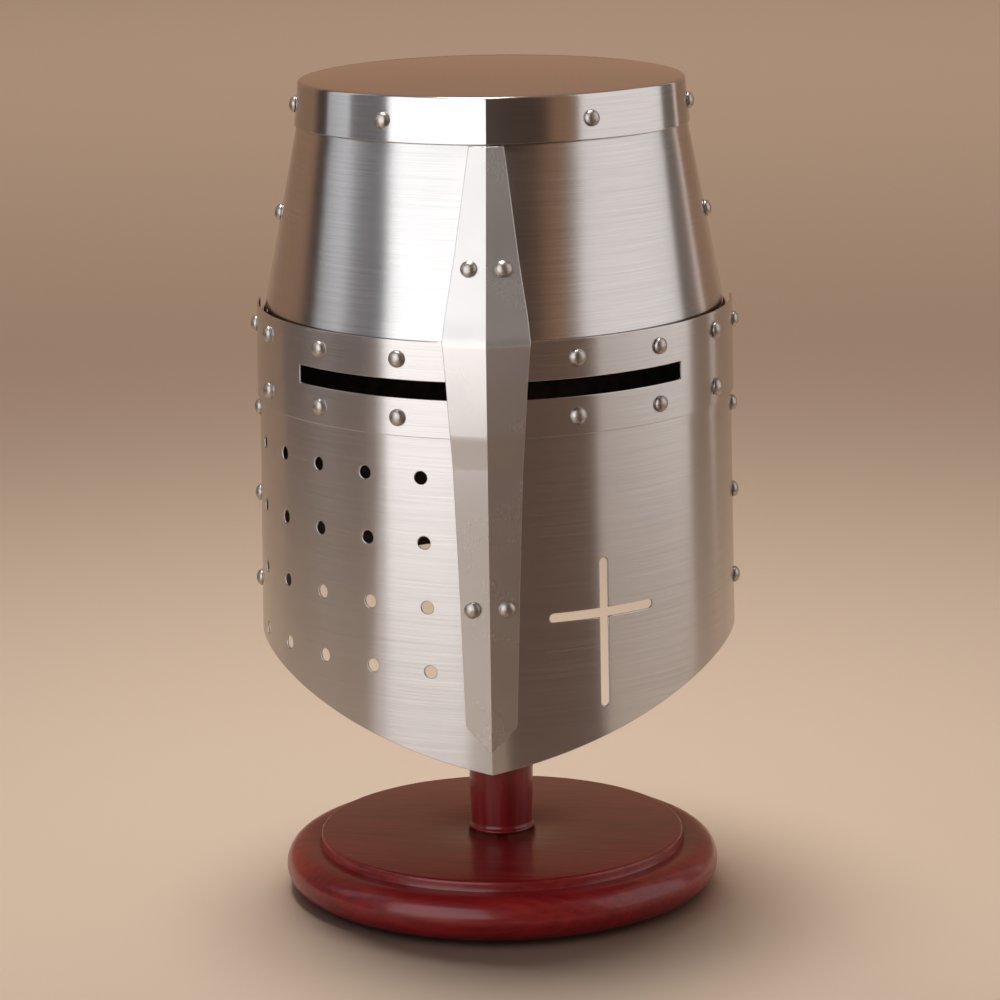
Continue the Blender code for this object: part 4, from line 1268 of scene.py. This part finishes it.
def buildStand():
    look = standLook
    base, disc = high("stand_base"), rowSize("stand_base", high("stand_base").z)[0]
    foot, top, radius = low("stand_base").z, base.z, base.x
    step, rim = top - look["step"], disc + look["chamfer"]
    bulge = (step - foot) / 2
    seat = radius - bulge
    profile = [(0, top - 0.0002), (look["bore"], top - 0.0002), (look["bore"] + look["boreEdge"], top)]
    profile += softCorners([(disc * 0.5, top), (rim, top), (rim, step + look["groove"])], look["discRound"])
    profile += [(rim + 0.0004, step - 0.0001), (rim + 0.0010, step + 0.0001)]
    profile += arc((seat, foot + bulge), bulge, 88, -88, 26)
    profile += [(seat - 0.010, foot), (0, foot)]
    revolvedPiece("stand_disc", profile, "stand", ["stand_base"], "disc", 192)

    bottom, postTop, postRadius = low("stand_post").z, high("stand_post").z, high("stand_post").x
    knobFoot, tenon, bead = low("stand_head").z - look["knobGap"], look["tenon"], look["postBead"]
    inset, drop = look["tenonEdge"]
    waist = [(0, postTop), (tenon - inset, postTop), (tenon, postTop - drop), (tenon, knobFoot)]
    waist += [(r, knobFoot - h) for r, h in look["neck"]] + [(r, bottom + h) for r, h in look["ankle"]]
    profile = softCorners(waist, look["postRound"], 4)
    profile += arc((postRadius - bead, bottom + 0.0010), bead, 75, -75, 6)
    profile += [(postRadius - 0.0015, bottom), (0, bottom)]
    revolvedPiece("stand_column", profile, "stand", ["stand_post"], "post", 128)

    top, foot, radius = high("stand_head").z, low("stand_head").z, high("stand_head").x
    profile = [(0, top)] + [(r, top - h) for r, h in look["knobTop"]]
    profile += arc((radius - look["knobRound"], top - look["knobDrop"]), look["knobRound"], 75, -60, 16)
    profile += [(r, foot + h) for r, h in look["knobFoot"]]
    profile += [(look["knobBore"], foot), (look["knobBore"], postTop), (0, postTop + 0.0002)]
    revolvedPiece("stand_knob", profile, "stand_head", ["stand_head"], "post", 128)

    top, foot, radius = high("stand_pad").z, low("stand_pad").z, high("stand_pad").x
    profile = [(r, top - h) for r, h in look["cushion"]]
    profile += [(radius, top - look["cushionRim"]), (radius - 0.0003, foot + look["cushionFoot"]),
                (radius - 0.001, foot), (0, foot)]
    revolvedPiece("stand_cushion", profile, "stand_head", ["stand_pad"], "felt", 96)

    top, radius, foot = high("base_felt").z, high("base_felt").x, look["feltFoot"]
    inset, drop = look["feltEdge"]
    profile = [(0, top), (radius - inset, top), (radius, top - drop), (radius - 0.0001, foot), (0, foot)]
    revolvedPiece("stand_felt", profile, "stand", ["base_felt"], "felt", 128)
    screw = nodes["stand_screw"]
    screw.data.materials.clear()
    screw.data.materials.append(materials["rivet"])


buildStand()
print("stand turned")


# Floor, lights and camera
stage = {
    "floor": (0.64, 0.54, 0.445), "floorSize": 16.0,
    "camera": (-0.0013, -1.7531, 0.5706), "lens": 140.9, "pitch": radians(77.52),
    "round": radians(1.6), "roll": radians(0.8),
}
wood, shade, dark = (0.36, 0.21, 0.135), (0.065, 0.042, 0.032), (0.04, 0.034, 0.032)
# the room round the stage: bearing from straight ahead of the helm in degrees, and its colour there
room = [
    (-180, wood), (-120, wood), (-114, dark), (-104, dark), (-84, (0.20, 0.18, 0.185)), (-60, (0.20, 0.21, 0.24)),
    (0, shade), (39, shade), (44, (0.30, 0.165, 0.095)), (54, (0.32, 0.175, 0.10)), (58, (0.25, 0.20, 0.17)),
    (112, (0.25, 0.22, 0.20)), (124, (0.14, 0.13, 0.125)), (136, wood), (180, wood),
]
# softboxes: bearing and span in degrees, distance, foot and top in metres, radiance, and turn on their own axis
softboxes = {
    "keyLeft": {"bearing": -34.5, "span": 54, "away": 0.82, "foot": 0.075, "top": 1.20, "radiance": 1.85,
                "lean": 11, "color": (1, 1, 1)},
    "fillLeft": {"bearing": -93, "span": 18, "away": 1.1, "foot": 0.36, "top": 1.6, "radiance": 0.8,
                 "lean": 0, "color": (0.92, 0.96, 1.0)},
    "fillRight": {"bearing": 84.5, "span": 57, "away": 1.1, "foot": 0.05, "top": 1.6, "radiance": 0.82,
                  "lean": -8, "color": (1, 0.985, 0.99)},
    "edgeRight": {"bearing": 128, "span": 4, "away": 1.1, "foot": 0.05, "top": 1.6, "radiance": 0.6,
                  "lean": 0, "color": (1, 0.98, 0.96)},
}
# the back wash lights only the floor behind, and the overhead lamp lights everything
roomLamps = {
    "backWash": {"shape": "RECTANGLE", "size": (5.0, 3.0), "energy": 70.0, "color": (1.0, 0.86, 0.74),
                 "place": (0, 3.6, 3.4)},
    "overhead": {"shape": "DISK", "size": (0.9, 0.9), "energy": 4.6, "color": (1.0, 0.95, 0.89),
                 "place": (-0.15, 0.25, 2.2)},
}
overheadAim = {"spread": radians(62), "turn": (radians(-6), radians(-4), 0)}


def addLamp(name, shape, size, energy, color, place):
    lamp = bpy.data.lights.new(name, "AREA")
    lamp.shape, lamp.energy, lamp.color = shape, energy, color
    lamp.size, lamp.size_y = size
    holder = newObject(name, lamp)
    holder.location, holder.visible_camera = place, False
    return holder


def addSoftbox(name, offFloor):
    box = softboxes[name]
    bearing = radians(box["bearing"])
    width, height = 2 * box["away"] * tan(radians(box["span"] / 2)), box["top"] - box["foot"]
    middle = Vector((sin(bearing), -cos(bearing), 0)) * box["away"]
    holder = addLamp(name, "RECTANGLE", (width, height), box["radiance"] * pi * width * height, box["color"],
                     middle + Vector((0, 0, (box["foot"] + box["top"]) / 2)))
    lean = Matrix.Rotation(radians(box["lean"]), 3, "Z")
    holder.rotation_euler = ((-middle).to_track_quat("-Z", "Y").to_matrix() @ lean).to_euler()
    holder.light_linking.receiver_collection = offFloor


# cards out of the camera's sight, which only the steel and the lacquer mirror: each lies level from near
# to far and stands up at its far edge
cards = {
    "brownCard": {"bearing": 33, "span": 42, "near": 0.22, "far": 0.62, "foot": 0.002, "top": 0.34,
                  "color": (0.155, 0.098, 0.072)},
    "greyCard": {"bearing": -92, "span": 52, "near": 0.845, "far": 0.85, "foot": 0.035, "top": 0.30,
                 "color": (0.145, 0.115, 0.105)},
    "whiteCard": {"bearing": -40, "span": 42, "near": 0.30, "far": 0.80, "foot": 0.002, "top": 0.085,
                  "color": (0.90, 0.79, 0.72)},
}


def addStagePiece(name, edit, materialName, look):
    holder = newObject(name, meshFrom(edit, name))
    material, _, shader = newMaterial(materialName)
    setShader(shader, look)
    holder.data.materials.append(material)
    return holder


def addCard(name):
    card = cards[name]
    bearings = [radians(card["bearing"] + card["span"] * (i / 8 - 0.5)) for i in range(9)]
    edit = bmesh.new()
    rows = []
    for away, height in ((card["near"], card["foot"]), (card["far"], card["foot"]), (card["far"], card["top"])):
        rows.append([edit.verts.new((away * sin(t), -away * cos(t), height)) for t in bearings])
    joinGrid(edit, rows)
    holder = addStagePiece(name, edit, name, {
        "Base Color": (0.0, 0.0, 0.0, 1), "Roughness": 1.0, "Specular IOR Level": 0.0,
        "Emission Strength": 1.0, "Emission Color": (*card["color"], 1)})
    holder.visible_camera = holder.visible_shadow = holder.visible_diffuse = False


def buildFloor():
    edit = bmesh.new()
    bmesh.ops.create_grid(edit, x_segments=1, y_segments=1, size=stage["floorSize"])
    return addStagePiece("studio_floor", edit, "studioFloor", {
        "Base Color": (*stage["floor"], 1), "Roughness": 0.6, "Specular IOR Level": 0.25})


def buildRoom():
    world = bpy.data.worlds.new("studio")
    bpy.context.scene.world = world
    world.use_nodes = True
    tree = world.node_tree
    look = addNode(tree, "ShaderNodeTexCoord").outputs["Generated"]
    way = addNode(tree, "ShaderNodeSeparateXYZ", {0: look}).outputs
    bearing = calc(tree, "ARCTAN2", way[0], times(tree, way[1], -1.0))
    around = timesPlus(tree, bearing, 0.5 / pi, 0.5)
    background = tree.nodes["Background"]
    link(tree, ramp(tree, around, [((a + 180) / 360, c) for a, c in room]), background, "Color")
    background.inputs["Strength"].default_value = 1.0


def buildLights(floor):
    spared, washed = (bpy.data.collections.new(name) for name in ("notLitBySoftboxes", "litByBackWash"))
    for group in (spared, washed):
        group.objects.link(floor)
    spared.collection_objects[0].light_linking.link_state = "EXCLUDE"
    for name in softboxes:
        addSoftbox(name, spared)
    for name in cards:
        addCard(name)
    wash = addLamp("backWash", **roomLamps["backWash"])
    wash.visible_glossy = False
    wash.light_linking.receiver_collection = washed
    overhead = addLamp("overhead", **roomLamps["overhead"])
    overhead.data.spread, overhead.rotation_euler = overheadAim["spread"], overheadAim["turn"]


def buildCamera():
    camera = newObject("camera", bpy.data.cameras.new("camera"))
    camera.data.lens, camera.data.sensor_width = stage["lens"], 36.0
    camera.data.clip_start, camera.data.clip_end = 0.05, 60.0
    place = Matrix.Rotation(stage["round"], 4, "Z") @ Matrix.Rotation(stage["roll"], 4, "Y")
    camera.matrix_world = place @ Matrix.Translation(stage["camera"]) @ Matrix.Rotation(stage["pitch"], 4, "X")
    bpy.context.scene.camera = camera
    bpy.context.scene.view_settings.view_transform = "Standard"


studioFloor = buildFloor()
buildRoom()
buildLights(studioFloor)
buildCamera()
print("stage set")
